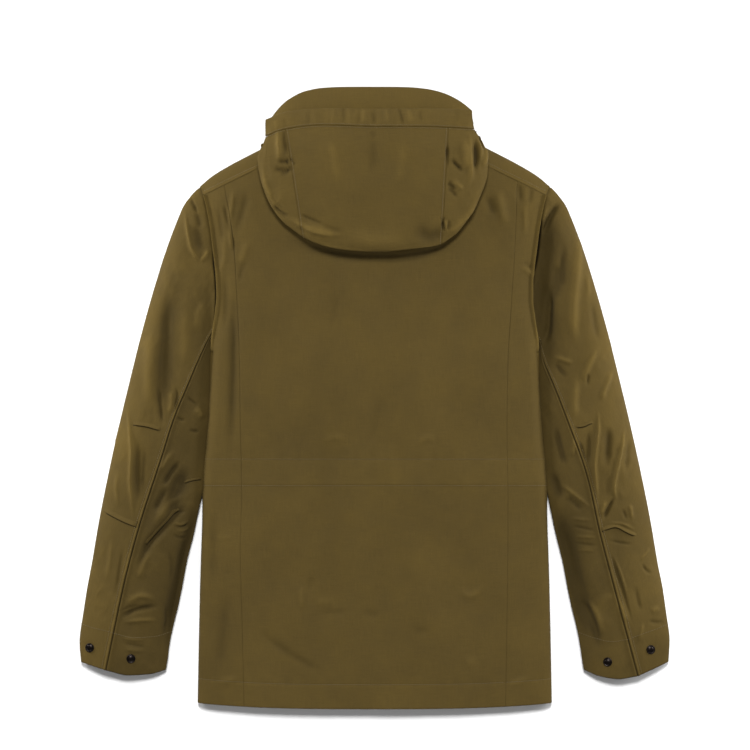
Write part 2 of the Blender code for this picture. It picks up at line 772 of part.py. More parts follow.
def folded_layers():
    """The hood's hidden layers as one solid: rings across it, with a groove between two layers at the edge."""
    rings = []
    places = np.linspace(2.3, 19.1, 21)
    xs = [np.interp(p, (2.0, 8.1, 12.1, 20.0), (-140.0, -116.0, 96.0, 128.0)) for p in places]
    for x, place in zip(xs, places):
        start, end = hood_column(x, place)
        start = start - np.array([0.0, 4.0])
        inward = (start - end) / np.linalg.norm(start - end)
        base = rest_z(*end) + HOOD_GAP
        mid = rest_z(*end) + HOOD_MID
        long = np.linalg.norm(end - start)
        ring = []
        for f in (0.0, 0.3, 0.6, 0.85):
            point = mix(start, end + inward * min(16.0, long * 0.5), f / 0.85)
            ring.append((*point, hood_z(*point) - LAYERS_DEEP * (1.6 if f == 0.85 else 1.0)))
        for inset, z in (
            (10.5, mid + 3.0),
            (5.8, mid - 0.5),
            (6.6, mid - 3.0),
            (9.0, mid - 5.0),
            (3.6, base + 2.2),
            (4.6, base + 0.8),
            (9.0, base),
        ):
            point = end + inward * inset
            ring.append((*point, min(z, hood_z(*point) - 1.6 * LAYERS_DEEP)))
        for f in (0.25, 0.6, 1.0):
            point = mix(end + inward * 9.0, start, f)
            ring.append((*point, rest_z(*point) + HOOD_GAP))
        rings.append(ring)
    return rings


def casing():
    """The casing round the hood's mouth: a strip folded at its free edge, gathered by the cord inside it."""
    columns = []
    count = 43
    for i in range(count):
        t = i / (count - 1)
        x = mix(HOOD_MOUTH[0][0] - 1.0, HOOD_MOUTH[-1][0], t)
        lean = CASING_LEAN * t**6
        seam, free = mouth_point(x), mouth_point(x, 1.0)
        middle = math.exp(-(((x + 15.0) / 85.0) ** 2))
        wave = 0.9 * middle * math.sin(i * 1.9 + math.sin(i * 0.7))
        top = hood_z(x, seam[1] - SEAM)
        low = rest_z(x, free[1]) + 6.0
        column = [(x, seam[1] + ROUND_SEAM, top)]
        for f in (0.3, 0.6):
            z = mix(top, low + 4.5, f**1.5) + wave
            column.append((x - f * lean, mix(seam[1], free[1] - CASING_R, f), z))
        for angle in (60, 15, -30, -75):
            turn = math.radians(angle)
            up = free[1] - CASING_R * (1 - math.cos(turn))
            column.append((x - lean, up, low + CASING_R * math.sin(turn) + 0.4 * wave))
        for f in (0.35, 0.75):
            point = mix(free[1] - CASING_R, seam[1] + 2.5, f)
            column.append((x - (1 - f) * lean, point, low - CASING_R + 0.5 * f))
        columns.append(column)
    return columns


# Making the objects -------------------------------------------------------------------------------------------


def material(name, colour, roughness, metallic=0.0):
    made = bpy.data.materials.new(name)
    made.use_nodes = True
    shader = made.node_tree.nodes["Principled BSDF"]
    shader.inputs["Base Color"].default_value = (*colour, 1.0)
    shader.inputs["Roughness"].default_value = roughness
    shader.inputs["Metallic"].default_value = metallic
    return made


def placed(point):
    x, up, z = point
    return (x * MM, (up - LENGTH / 2) * MM, z * MM)


def add(name, points, faces, look, smooth=True):
    mesh = bpy.data.meshes.new(name)
    mesh.from_pydata([placed(p) for p in points], [], faces)
    if smooth:
        mesh.shade_smooth()
    mesh.materials.append(look)
    piece = bpy.data.objects.new(name, mesh)
    bpy.data.collections["hooded_shell_jacket"].objects.link(piece)
    return piece


def loft(name, rows, look, outward=1):
    """A cloth piece from its sections, each the same number of points; outward is 1 or -1 by their order."""
    wide = len(rows[0])
    faces = []
    for i in range(len(rows) - 1):
        for j in range(wide - 1):
            a, b = i * wide + j, (i + 1) * wide + j
            quad = (a, a + 1, b + 1, b)
            faces.append(quad if outward > 0 else quad[::-1])
    piece = add(name, [p for row in rows for p in row], faces, look)
    wall = piece.modifiers.new("wall", "SOLIDIFY")
    wall.thickness = WALL * MM
    wall.offset = -1.0
    wall.use_even_offset = True
    return piece


def rings(name, loops, look):
    """A closed solid through rings of points, with a fan of faces over each end."""
    count = len(loops[0])
    points = [p for loop in loops for p in loop]
    faces = []
    for i in range(len(loops) - 1):
        for j in range(count):
            k = (j + 1) % count
            faces.append((i * count + j, i * count + k, (i + 1) * count + k, (i + 1) * count + j))
    for end, turned in ((0, True), (len(loops) - 1, False)):
        points.append(tuple(np.mean(np.array(loops[end]), axis=0)))
        hub = len(points) - 1
        for j in range(count):
            a, b = end * count + j, end * count + (j + 1) % count
            faces.append((hub, b, a) if turned else (hub, a, b))
    return add(name, points, faces, look)


def zip_and_slider(tape, metal):
    top, low = ZIP_TOP, hem_up(0.0) + 0.5
    half = CENTRE_FRONT - 0.4
    for name, y0, y1, deep, look in (
        ("front_zip", low, top, 2.0, tape),
        ("zip_slider", top + 0.3, top + 16.0, 3.4, metal),
    ):
        bpy.ops.mesh.primitive_cube_add(size=1.0)
        piece = bpy.context.object
        piece.name = name
        for corner in piece.data.vertices:
            x, y, z = corner.co
            corner.co = placed((2 * half * x, mix(y0, y1, y + 0.5), deep * (z + 0.5)))
        piece.data.materials.append(look)
        adopt(piece)
        if name == "zip_slider":
            edge = piece.modifiers.new("edges", "BEVEL")
            edge.width = 0.8 * MM
            edge.segments = 2


def adopt(piece):
    """Moves an object from the scene's own collection to the jacket's."""
    for holder in list(piece.users_collection):
        holder.objects.unlink(piece)
    bpy.data.collections["hooded_shell_jacket"].objects.link(piece)


def sleeve_top(side, place, share, outer_piece):
    """A point of a sleeve's upper layer, on its outer piece or on its under sleeve."""
    if outer_piece:
        return upper_sleeve_top(side, place, share)
    _, seam, inner, height = sleeve_section(side, place)
    point = mix(seam, inner, share)
    return point, under_height(height, np.linalg.norm(point - inner))


def snap(number, side, place, share, outer_piece, metal):
    def spot(place, share):
        point, z = sleeve_top(side, place, share, outer_piece)
        return Vector((SIDES[side] * point[0], point[1], z))

    middle = spot(place, share)
    out = (spot(place, share + 0.1) - middle).cross(spot(place + 0.1, share) - middle).normalized()
    out *= math.copysign(1, out.z)
    centre = placed(middle + out * (SNAP_GAP + SNAP_H / 2))
    bpy.ops.mesh.primitive_cylinder_add(vertices=24, radius=SNAP_R * MM, depth=SNAP_H * MM, location=centre)
    piece = bpy.context.object
    piece.rotation_euler = out.to_track_quat("Z", "Y").to_euler()
    piece.name = f"snap_{side}_{number}"
    piece.data.materials.append(metal)
    edge = piece.modifiers.new("edge", "BEVEL")
    edge.width = 0.9 * MM
    edge.segments = 2
    edge.limit_method = "ANGLE"
    piece.data.shade_smooth()
    piece.data.set_sharp_from_angle(angle=math.radians(40))
    adopt(piece)


def main():
    for old in list(bpy.data.objects):
        bpy.data.objects.remove(old, do_unlink=True)
    bpy.context.scene.collection.children.link(bpy.data.collections.new("hooded_shell_jacket"))

    def cloth(name):
        return material(name + "_cloth", OLIVE, 0.75)

    metal = material("dark_metal", DARK_METAL, 0.35, 0.9)
    loft("back_center", with_folds(center_back()), cloth("back_center"))
    for side, sign in SIDES.items():
        loft(f"back_side_{side}", with_folds(side_back(side)), cloth(f"back_side_{side}"), sign)
        loft(f"front_{side}", front(side), cloth(f"front_{side}"), -sign)
        loft(f"sleeve_upper_{side}", with_folds(upper_sleeve(side)), cloth(f"sleeve_upper_{side}"), -sign)
        loft(f"sleeve_under_{side}", with_folds(under_sleeve(side)), cloth(f"sleeve_under_{side}"), sign)
    loft("collar", collar(), cloth("collar"), -1)
    for name, x0, x1, place0, place1 in HOOD_PANELS:
        count = 15 if name == "hood_center" else 7
        loft(name, hood_panel(x0, x1, place0, place1, count), cloth(name))
    loft("hood_casing", casing(), cloth("hood_casing"), -1)
    rings("hood_layers", folded_layers(), cloth("hood_layers"))
    zip_and_slider(material("zip_tape", ZIP_BROWN, 0.6), metal)
    for number, (side, place, share, outer_piece) in enumerate(SNAPS, 1):
        snap(number, side, place, share, outer_piece, material(f"snap_{number}", DARK_METAL, 0.3, 0.9))


main()
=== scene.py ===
"""The looks of a hooded shell jacket laid flat with its back upward.

Measures are in millimetres, as in the source of its solids: `across` runs from the centre back to a
side, `up` from the lowest point of the hem to the top of the collar, and z from the surface that it
lies on. Only the lights, the floor and the camera are in metres. The tables and the
functions of the form are the solids' own. Each cloth piece is read from them on a fine grid, its
creases, seams and puckers are laid on that grid, and it is made as a thin shell with a rounded edge.
"""

import math
from functools import lru_cache

import bpy
import numpy as np
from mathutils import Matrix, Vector


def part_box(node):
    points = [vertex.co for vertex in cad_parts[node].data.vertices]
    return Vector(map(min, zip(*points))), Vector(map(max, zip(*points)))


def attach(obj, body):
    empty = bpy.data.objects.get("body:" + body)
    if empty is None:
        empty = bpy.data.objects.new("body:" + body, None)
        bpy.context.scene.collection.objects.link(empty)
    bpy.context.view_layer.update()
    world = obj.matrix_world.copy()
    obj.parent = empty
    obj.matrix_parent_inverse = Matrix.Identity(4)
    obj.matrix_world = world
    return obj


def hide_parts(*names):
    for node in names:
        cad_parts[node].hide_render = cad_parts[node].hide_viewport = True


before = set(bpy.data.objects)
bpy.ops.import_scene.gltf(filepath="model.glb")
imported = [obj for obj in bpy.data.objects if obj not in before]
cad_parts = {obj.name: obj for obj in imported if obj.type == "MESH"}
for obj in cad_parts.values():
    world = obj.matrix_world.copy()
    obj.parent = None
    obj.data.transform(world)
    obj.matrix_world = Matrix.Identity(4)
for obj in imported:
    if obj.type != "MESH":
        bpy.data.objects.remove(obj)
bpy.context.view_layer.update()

# Measures of the form -----------------------------------------------------------------------------

MM = 0.001
LENGTH = 846.0  # lowest point of the hem to the top of the collar
HEM_TO_MIDDLE = LENGTH / 2  # the frame's origin is in the middle
SEAM = 0.08  # how far each piece stays from a seam line, so 0.16 between two pieces
ROUND_SEAM = 0.12  # the same where the cloth turns at the seam: along the sides and down the sleeves
CENTRE_FRONT = 5.6  # where the fronts and the collar stop beside the zip
HEM_LOW = 0.6  # the hem at the centre back
HEM_RISE = 8.0  # how much higher it is at the sides
FOLD_R = 8.0  # height of the outermost line of a folded side
FOLD_TOP = 15.0  # how far in from a fold the upper layer reaches its full height
FOLD_UNDER = 8.0  # how far in from a fold the lower layer lies on the floor
SHOULDER_TOP = 42.0  # the same as FOLD_TOP, for the soft fold over the shoulders
UNDERARM = 485.5
ARMHOLE_TOP = 697.7  # where the armhole seam meets the shoulder seam
ARMHOLE_Z = 17.0  # height of the armhole seam
ARCH = 50.0  # how far above the underarm the armhole seam has that height
ARMHOLE_START = 60.0  # how far above the underarm the side's round edge has turned into the armhole's
ARMHOLE_FLAT = 640.0  # above this the armhole seam takes the height of the back's own rounded edge
LEVEL_UP = 400.0  # above this the sections of the back rise toward its middle
PRINCESS_TOP = 712.0  # about where the seam beside the centre back meets the shoulder seam
SIDES = {"left": -1, "right": 1}
OVER_FOLD = 5  # sections of a front from the shoulder fold to its seam
SLEEVE_TURN = 5  # the armhole's points from the underarm up to the start of the sleeve's seam

# The back's crown: its height above the floor along the centre line, and the share of it lost at the sides.
CROWN = (  # up, height
    (0.0, 23.0), (150.0, 25.0), (330.0, 27.5), (560.0, 29.0), (740.0, 28.0), (846.0, 25.5),
)
CROWN_FALL = 0.2
# Half width of the body, at its folded side and then along the armhole seam.
BODY = (  # up, across
    (0.0, 241.0), (104.7, 239.0), (170.0, 237.5), (251.6, 234.8), (311.4, 233.0), (364.5, 228.2),
    (414.8, 224.9), (485.5, 220.7), (516.8, 218.7), (567.1, 214.6), (597.0, 216.6), (627.0, 220.3),
    (658.2, 224.4), (682.7, 229.0), (697.7, 232.6),
)
# The seam between the centre back and each side back.
PRINCESS = (  # up, left across, right across
    (0.0, 177.5, 177.5), (130.6, 180.6, 179.6), (202.6, 182.6, 180.4), (287.0, 180.6, 180.6),
    (383.5, 182.4, 179.3), (491.0, 184.3, 181.6), (552.2, 187.0, 185.6), (635.0, 192.4, 190.4),
    (720.0, 205.5, 193.5),
)
# The outermost line of the shoulder fold, from the neck to the armhole seam.
SHOULDER = (  # across, up
    (134.0, 772.0), (162.5, 757.5), (193.8, 741.2), (221.0, 724.9), (238.0, 710.6),
)
NECK_SEAM = (138.0, 744.0)  # where the shoulder seam meets the collar: across, up
NECK_BACK = 738.0  # the collar seam at the centre back
NECK_FRONT = (  # the collar seam on the fronts: across, up
    (CENTRE_FRONT, 690.0), (48.0, 697.0), (88.0, 718.0), (117.0, 744.0), (134.0, 772.0),
)
# The outer edge of a sleeve.
SLEEVE_OUTER = (  # up, across
    (710.6, 238.0), (692.2, 255.0), (659.6, 270.6), (627.0, 282.9), (578.0, 298.5), (512.7, 316.9),
    (447.4, 333.2), (382.2, 348.8), (316.9, 363.1), (251.6, 376.0), (202.6, 384.2), (137.4, 395.8),
    (104.7, 399.4), (72.1, 402.4), (62.0, 399.0),
)
# The inner edge of a sleeve where it has left the body's side.
SLEEVE_INNER = (  # up, across
    (300.0, 235.5), (277.4, 238.4), (243.4, 244.8), (202.6, 255.0), (170.0, 261.1), (137.4, 267.9),
    (104.7, 276.1), (74.8, 280.8), (52.0, 284.4),
)
LEAVES_SIDE = 290.0  # above this a sleeve lies along the body's side
SIDE_GAP = 0.1  # between the two folds there
# The seam down the back of each sleeve, from the armhole to the cuff.
SLEEVE_SEAM = {  # up, across
    "left": (
        (516.8, 218.7), (482.8, 236.0), (435.2, 256.4), (397.1, 272.0), (341.4, 289.7), (251.6, 318.9),
        (180.9, 338.0), (112.9, 352.9), (53.0, 365.4),
    ),
    "right": (
        (506.0, 219.4), (476.0, 228.0), (435.2, 245.4), (389.0, 263.2), (319.6, 287.6), (235.3, 306.7),
        (183.6, 320.3), (112.9, 339.3), (45.0, 357.6),
    ),
}
# The sections of a sleeve: how far up each one meets the outer edge, the seam and the inner edge, and its
# height. The first is the armhole, and the last is the cuff.
SLEEVE_SECTIONS = (  # outer, seam, inner, height
    (710.6, None, UNDERARM, 17.0), (684.0, 502.0, 476.0, 20.0), (652.0, 482.0, 462.0, 23.0),
    (610.0, 458.0, 442.0, 25.0), (562.0, 432.0, 416.0, 26.0), (514.0, 403.0, 386.0, 27.0),
    (466.0, 372.0, 353.0, 27.5), (420.0, 340.0, 320.0, 28.0), (376.0, 308.0, 286.0, 28.0),
    (332.0, 276.0, 252.0, 27.5), (289.0, 243.0, 218.0, 27.0), (247.0, 210.0, 185.0, 26.5),
    (206.0, 176.0, 154.0, 26.0), (166.0, 143.0, 124.0, 25.0), (128.0, 111.0, 96.0, 23.5),
    (94.0, 80.0, 72.0, 22.0), (64.0, None, 53.5, 20.0),
)
# Where a sleeve's pieces have a section, counted in rows of that table.
SLEEVE_PLACES = (*(n / 2 for n in range(27)), 14.0, 15.0, 16.0)
SLEEVE_HEAD = 6.0  # the place where the armhole's arch has left a sleeve's sections
SLEEVE_ROUND = 72.0  # how far in from its inner fold a sleeve reaches its full height
SLEEVE_TOP = 50.0  # the same from its outer fold
CUFF_SAG = 7.5  # how far the middle of the under sleeve's hem hangs below its ends
# The edge of the dropped hood, from the left end of its casing round to the right end.
HOOD_EDGE = (  # x, up
    (-147.9, 777.9), (-153.3, 765.7), (-158.8, 750.7), (-157.4, 733.0), (-153.3, 714.0), (-145.2, 692.2),
    (-135.7, 675.9), (-124.8, 662.3), (-101.7, 643.3), (-60.9, 627.0), (0.3, 620.8), (54.7, 625.6),
    (88.7, 631.0), (105.0, 640.6), (118.7, 655.5), (129.5, 671.8), (140.4, 690.9), (149.9, 712.6),
    (154.0, 738.5), (153.6, 751.0), (148.6, 767.0), (135.0, 787.4),
)
# The line where the hood's panels meet its casing, and the casing's own free edge.
HOOD_MOUTH = (  # x, up of the seam, up of the free edge
    (-147.2, 777.9, 801.0), (-124.8, 786.1, 810.5), (-101.7, 790.2, 814.0), (0.0, 790.8, 815.5),
    (99.6, 789.5, 815.5), (135.0, 787.4, 814.5),
)
HOOD_PANELS = (  # name, x of its two seams at the casing, place of their ends along the edge, lines
    ("hood_side_left", -147.2, -120.7, 1.0, 8.1, 7),
    ("hood_center", -120.7, 99.6, 8.1, 12.1, 15),
    ("hood_side_right", 99.6, 135.0, 12.1, 20.3, 7),
)
HOOD_TOP = 56.0  # the highest point of the hood
HOOD_LOW = 47.0  # its height near its lower edge
HOOD_MID = 10.5  # its outermost line, above the cloth below it
HOOD_ROUND = 30.0  # how far in from its edge it is rounded
HOOD_TUCK = 7.0  # radius of the turn under its edge
HOOD_SEAM = 0.1  # how far its panels stay from their seams at the edge, where the wall turns under
HOOD_GAP = 0.6  # under the folded layers inside it
LAYERS_DEEP = 3.2  # from its outer cloth down to those layers
CASING_R = 3.0  # of the fold along the casing's free edge
CASING_LEAN = 5.0  # how far the free edge's right end lies in from its end at the seam
COLLAR_R = 9.0  # height of the fold at each end of the collar
COLLAR_TOP = 14.0  # height of the collar's free edge behind the neck
COLLAR_TIP = {"left": (141.0, 804.0, 5.0), "right": (132.5, 813.5, 3.9)}  # across, up, power of the arc
COLLAR_FRONT = 785.0  # the collar's top edge beside the zip

# Measures of the fine grids -----------------------------------------------------------------------

CLOTH = 1.1  # thickness of the cloth with its lining
STEP = 2.85  # spacing of the fine grid where it shows
SLEEVE_STEP = 1.75  # the same on the sleeves
HOOD_STEP = 2.1  # the same on the hood's panels and casing
LAYERS_STEP = 4.5  # the same on the layers inside the hood
COARSE = 11.0  # the same on the layers that lie on the floor
UNDER_LEVEL = 5.0  # lines whose mean height is below this lie underneath
BESIDE = (0.0, 0.9, 1.8, 3.2)  # extra lines on each side of a stitched row
BESIDE_EDGE = (0.4, 0.9, 1.6, 2.6, 3.8, 5.0, 5.6, 6.2, 6.9, 7.6)  # extra lines beside a seam
CROWDED = 0.45  # a line that is nearer than this share of a step to an extra line is left out
NOISE_SIZE = 64  # the noise repeats after this many bumps
WAVES = ((0.55, 75, 120), (0.22, 30, 46), (0.07, 11, 15))  # share of the height, size across and up
WAVE_HIGH = {"body": 1.5, "sleeve": 2.8, "hood": 1.1, "collar": 0.8, "casing": 0.5}  # the waves' height
WRINKLES = ((0.3, 24, 40, 1.0), (-0.4, 11, 22, 0.5))  # slant, size across and up, share of the height
WRINKLE_SHARP = 2.4
WRINKLE_LOW = -0.3  # the cloth between wrinkles is flat below this
WRINKLE_PATCH = (55, 70)  # size of the patches where they lie
CRUMPLE_HIGH = {"sleeve": 0.55, "hood": 0.5}  # height of the small sharp wrinkles
CREASE_DEEP = {"body": 1.5, "sleeve": 2.15, "hood": 1.9, "casing": 1.2}  # times what the tables say
CREASE_END = 0.35  # share of a crease's length over which it fades in and out
SLEEVE_SEEDS = {"left": 40, "right": 50}
FACING_UP = 0.3  # cloth whose normal rises more than this is seen from above
INNER_LOW = 0.05  # the inner side of the cloth stays this far above the floor
RIM_LOW = 0.02  # and its rounded rim this far
RIM_OUT = 0.45  # how far the rim stands out, in thicknesses

# Stitched rows, seams and armholes.
HEM_DEEP = 33.0  # the hem's stitched row above its edge
WAIST_ROWS = (304.0, 340.0)  # how far up the two rows of the waist's casing are
BODY_MARKS = (HEM_DEEP, *WAIST_ROWS)
WAIST_GATHERS = (-15, 110)  # middle and half width of the stretch where the waist is gathered most
WAIST_PUCKERS = (0.45, 9.0)  # height of the puckers beside the rows, and how far they reach
WAIST_BAND = 0.3  # height of the band between the rows
HEM_PUCKERS = (0.35, 10.0)
HEM_BAND = 0.35  # height of the hem below its row
ROW_DEEP = 0.2  # how deep the stitches of a row lie
CASING_GATHERS = (-35, 45)  # the same stretch on the hood's casing
CUFF_DEEP = 52.0  # the cuff's stitched row above its edge
STITCH_IN = 6.0  # topstitching from a seam
EDGE_STITCH_IN = 2.0  # edge stitching from a seam
SEAM_RISE = 0.6  # height of the allowances under a topstitched seam
SEAM_FORMS = {  # depth of the groove and its half width, height of the puckers and how far they reach
    "open": (0.3, 0.9, 0.0, 1.0),
    "faint": (0.3, 0.8, 0.12, 6.0),
    "ridged": (0.9, 0.7, 0.25, 6.0),
    "topstitched": (0.6, 0.9, 0.22, 6.0),
    "edge-stitched": (0.5, 0.8, 0.3, 5.0),
    "rolled": (0.4, 0.5, 0.12, 5.0),
}
RIDGE_RISE = 1.3  # height of the ridge on each side of a sleeve's seam
RIDGE_IN = 2.2  # how far that ridge lies from the seam
ROLL_RISE = 4.1  # height of the body's rolled edge along the armhole
ROLL_LOW = 1.1  # the same below the arm
ROLL_START = 250.0  # the roll begins above this
VALLEY_DEEP = 1.2  # how far the sleeve's side of the armhole is drawn in
VALLEY_WIDE = 2.6  # half width of that valley, and how much further the painted shade of its seam reaches where it is deepest
ARMHOLE_DEEP = {"left": (524.0, 617.0, 4.6), "right": (600.0, 665.0, 3.0)}  # from, to, how much deeper

# A lapped fold: places across it and the height at each, from a dark strip of painted shadow on the cloth
# below it, over its edge.
LIP_FOOT = (-1.9, -1.4, -0.5, -0.2)
LIP_EDGE = (0.0, 0.25, 0.6, 1.2, 2.2)
LIP_BACK = (0.45, 0.65, 0.82, 1.0)  # in shares of how far back it slopes
LIP_LIFT = (0.0, 0.0, 0.0, 0.5, 0.93, 1.0, 0.98, 0.9, 0.76, 0.42, 0.2, 0.06, 0.0)
LIP_SINK = 0.15  # how far its outermost lines lie in the cloth
LIP_RAISED = (0.0, LIP_SINK + 0.12, LIP_SINK + 0.1)  # how far the lines of the painted shadow strip stay above that
LIP_PAINTED_SHADOW = (0.6, 0.0, 0.0, 0.0, 0.5)  # how near a seam its first lines count, which paints them as shadow under the fold's edge
LIP_ENDS = 3.2  # how quickly it grows from its two ends
LIP_OFF = 16.0  # square of a distance beyond which it doesn't lie on a piece
FAR = 9.0  # far from any seam

# Sewing and metal.
STITCH_PITCH = 3.3
STITCH_LONG = 0.82  # share of the pitch that shows
STITCH_START = 0.6
STITCH_TURN = 0.15  # no stitches where the cloth's normal rises less than this
STITCH_LOW = 1.5  # nor so near the floor
THREAD_R = 0.42
THREAD_SIDES = 5
HOOD_STITCH_IN = 1.8  # the rows beside the hood's panel seams
MOUTH_STITCH_IN = 2.2  # the rows at the ends of its middle panel
CASING_STITCH_IN = 2.0
# One stitch: place along it, how far it lies above the cloth, and its thickness, in shares.
STITCH_PROFILE = ((-0.5, -0.9, 0.5), (-0.34, 0.1, 1.0), (0.0, 0.45, 1.0), (0.34, 0.1, 1.0), (0.5, -0.9, 0.5))
SNAPS = (("left", "upper"), ("left", "under"), ("right", "upper"), ("right", "under"))  # side, sleeve's piece
SNAP_R = 6.3
SNAP_PROFILE = (  # radius, height above the cloth
    (6.0, -1.2), (6.2, 0.2), (6.1, 0.9), (5.65, 1.4), (5.1, 1.5), (4.7, 1.2), (4.35, 1.15), (3.8, 1.6),
    (2.8, 2.05), (1.4, 2.25), (0.35, 2.3),
)
SNAP_SIDES = 48
SNAP_SHARP = 50.0  # edges that turn more than this, in degrees, are sharp

# Colours and tones. A tone multiplies the cloth's colour; several tones below are painted light and shade.
CLOTH_COLOUR = (0.0675, 0.0445, 0.0104)
PAINTED_PIECE_SHADING = {  # painted light and shade of whole pieces, as tones where they aren't 1
    "sleeve_under_left": 0.76, "sleeve_under_right": 0.85, "sleeve_upper_right": 0.97,
    "hood_center": 1.10, "hood_side_left": 1.12, "hood_side_right": 1.12,
    "hood_casing": 1.15, "hood_layers": 0.8, "collar": 1.22,
}
# Painted shade: the cloth is darkened near its seams and open edges, under lapped folds and in the armhole's
# valley.
PAINTED_SEAM_SHADE = {"sleeve": 0.38, "back": 0.88, "front": 0.6, "hood": 0.8, "collar": 0.9}  # tone near the edges
PAINTED_SEAM_SHADE_WIDE = 0.9  # how far that painted shade reaches from a seam
RELIEF_HIGH = 3.2  # height of a ridge at which its painted highlight is full, and depth of a trough for its painted shade
PAINTED_RELIEF_SHADING = (0.66, 1.34)  # painted shade of the deepest troughs and painted highlight of the highest ridges
WEAVE_SCALE = 640.0  # of the threads, as of all scales below: how often they come in a metre, about
SLUB_ALONG, SLUB_ACROSS = 45.0, 1500.0
MOTTLE_SCALE = 26.0
SPECKLE_SCALE = 900.0
CRUMPLE_SCALE = 170.0
TWIST_SCALE = 2600.0  # of the sewing thread
WEAR_SCALE = 700.0  # of the metal
NOISE_RANGE = (0.25, 0.75)  # where most of a noise's values lie
SOFT_TONES = (0.93, 1.07)
SPECKLE_TONES = (0.95, 1.05)
CLOTH_ROUGH = (0.74, 0.84)
CRUMPLE_BUMP = (0.35, 0.0006)  # strength, distance
WEAVE_BUMP = (0.35, 0.0001)
TWIST_BUMP = (0.4, 0.00005)
WEAR_BUMP = (0.15, 0.0001)
CLOTH_SHADER = {
    "Specular IOR Level": 0.10,
    "Sheen Weight": 0.02,
    "Sheen Roughness": 0.5,
    "Sheen Tint": (0.75, 0.68, 0.5, 1.0),
}
THREAD_TONES = (0.95, 1.35)  # of the thread's twist
SNAP_METAL = ((0.008, 0.0055, 0.0045), 0.3)  # colour, roughness
ZIP_METAL = ((0.02, 0.016, 0.012), 0.4)
METAL_WORN = 2.4  # how much lighter worn metal is
FLOOR_COLOUR = (0.9, 0.9, 0.9)

# The camera, the lights and the floor.
CAMERA_AT = (0.0003, 0.0312, 8.0)
FOCUS_Z = 0.012  # height of the level at which the picture is PHOTO_WIDTH wide
PHOTO_WIDTH = 1.020
SENSOR = 36.0  # in real millimetres, as the lens is
FILL = 0.15  # strength of the even light from all round
KEY_FROM = (0.0, 0.49, 0.87)  # direction that the key light comes from
KEY_SOFT = 17.0  # its size as seen from the floor, in degrees
KEY_STRENGTH = 3.45
SIDE_LIGHTS = (  # name, place, what it faces, size, power
    ("left", (-0.92, 0.36, 0.26), (-0.25, 0.18, 0.0), (0.8, 0.2), 9.0),
    ("right", (0.92, 0.20, 0.26), (0.25, 0.12, 0.0), (0.8, 0.2), 7.5),
    ("front", (0.0, -1.70, 0.55), (0.0, -0.40, 0.0), (2.0, 0.5), 8.0),
)
FLOOR_HALF = 20.0
FLOOR_DROP = 0.0003  # how far the floor lies below the cloth's lowest points

# Creases. A row says rise, half width, and then x, up, x, up and so on of points along the crease.
BODY_CREASES = (
    (-1.3, 2.4, -205, 687, -201, 670, -197, 653), (-1.2, 4.5, -174, 709, -176, 687, -181, 668, -189, 641),
    (1.2, 3.5, -191, 711, -194, 684, -198, 654), (-0.7, 2.6, -193, 645, -191, 631, -190, 619),
    (1.0, 2.6, -198, 653, -196, 638, -193, 624), (-0.8, 3.2, -174, 611, -181, 593, -183, 577),
    (1.1, 4.5, -172, 638, -178, 619, -183, 602), (1.2, 4.0, -206, 649, -204, 616, -210, 590),
    (-1.4, 4.5, -204, 600, -202, 556, -204, 509), (-2.1, 6.0, -193, 577, -191, 502, -193, 420, -197, 325),
    # the trough under the hood's edge, whose relief tone paints shade below the hood's shadow
    (-3.3, 5.0, -121, 647, -91, 629, -47, 617, 0, 613, 48, 615, 90, 627, 112, 645),
    (-0.9, 2.6, -213, 685, -209, 658, -205, 630), (1.6, 6.0, 165, 710, 172, 681, 178, 653),
    (-1.5, 5.0, 151, 699, 157, 684, 161, 669), (-1.3, 3.0, 213, 711, 211, 698, 210, 684),
    (-1.5, 4.0, 195, 717, 196, 702, 198, 685), (1.0, 3.0, 203, 692, 204, 665, 203, 638),
    (1.2, 3.5, 198, 602, 208, 596, 219, 586), (-0.8, 3.5, 200, 608, 208, 602, 217, 597),
    (-0.5, 5.0, -50, 573, -54, 543, -57, 515), (-0.5, 5.0, 10, 431, 3, 393, -5, 358),
    (0.6, 4.0, -74, 362, -54, 370, -34, 364), (0.7, 4.0, 55, 359, 71, 369, 85, 364),
    (-1.0, 5.0, -162, 109, -117, 76, -64, 45), (0.9, 3.0, -99, 170, -100, 152, -100, 133),
    (-0.7, 4.0, -87, 182, -87, 171, -88, 159), (0.9, 4.0, 115, 165, 130, 154, 151, 169),
    (0.5, 5.0, -84, 146, -69, 146, -54, 147), (-0.5, 5.0, -80, 131, -57, 131, -34, 132),
    (-0.6, 5.0, -17, 133, -5, 129, 7, 128), (-0.6, 5.0, 51, 107, 64, 106, 78, 106),
    (0.7, 8.0, 121, 61, 131, 64, 140, 67), (-1.0, 6.0, -219, 277, -219, 216, -220, 162),
    (-1.1, 7.0, -201, 165, -206, 101, -213, 37), (0.8, 4.0, -215, 35, -200, 39, -185, 42),
    (0.4, 2.5, -217, 231, -204, 233, -189, 234), (-0.4, 2.0, -208, 185, -201, 185, -194, 185),
    (0.8, 4.0, 181, 31, 195, 38, 214, 42),
)
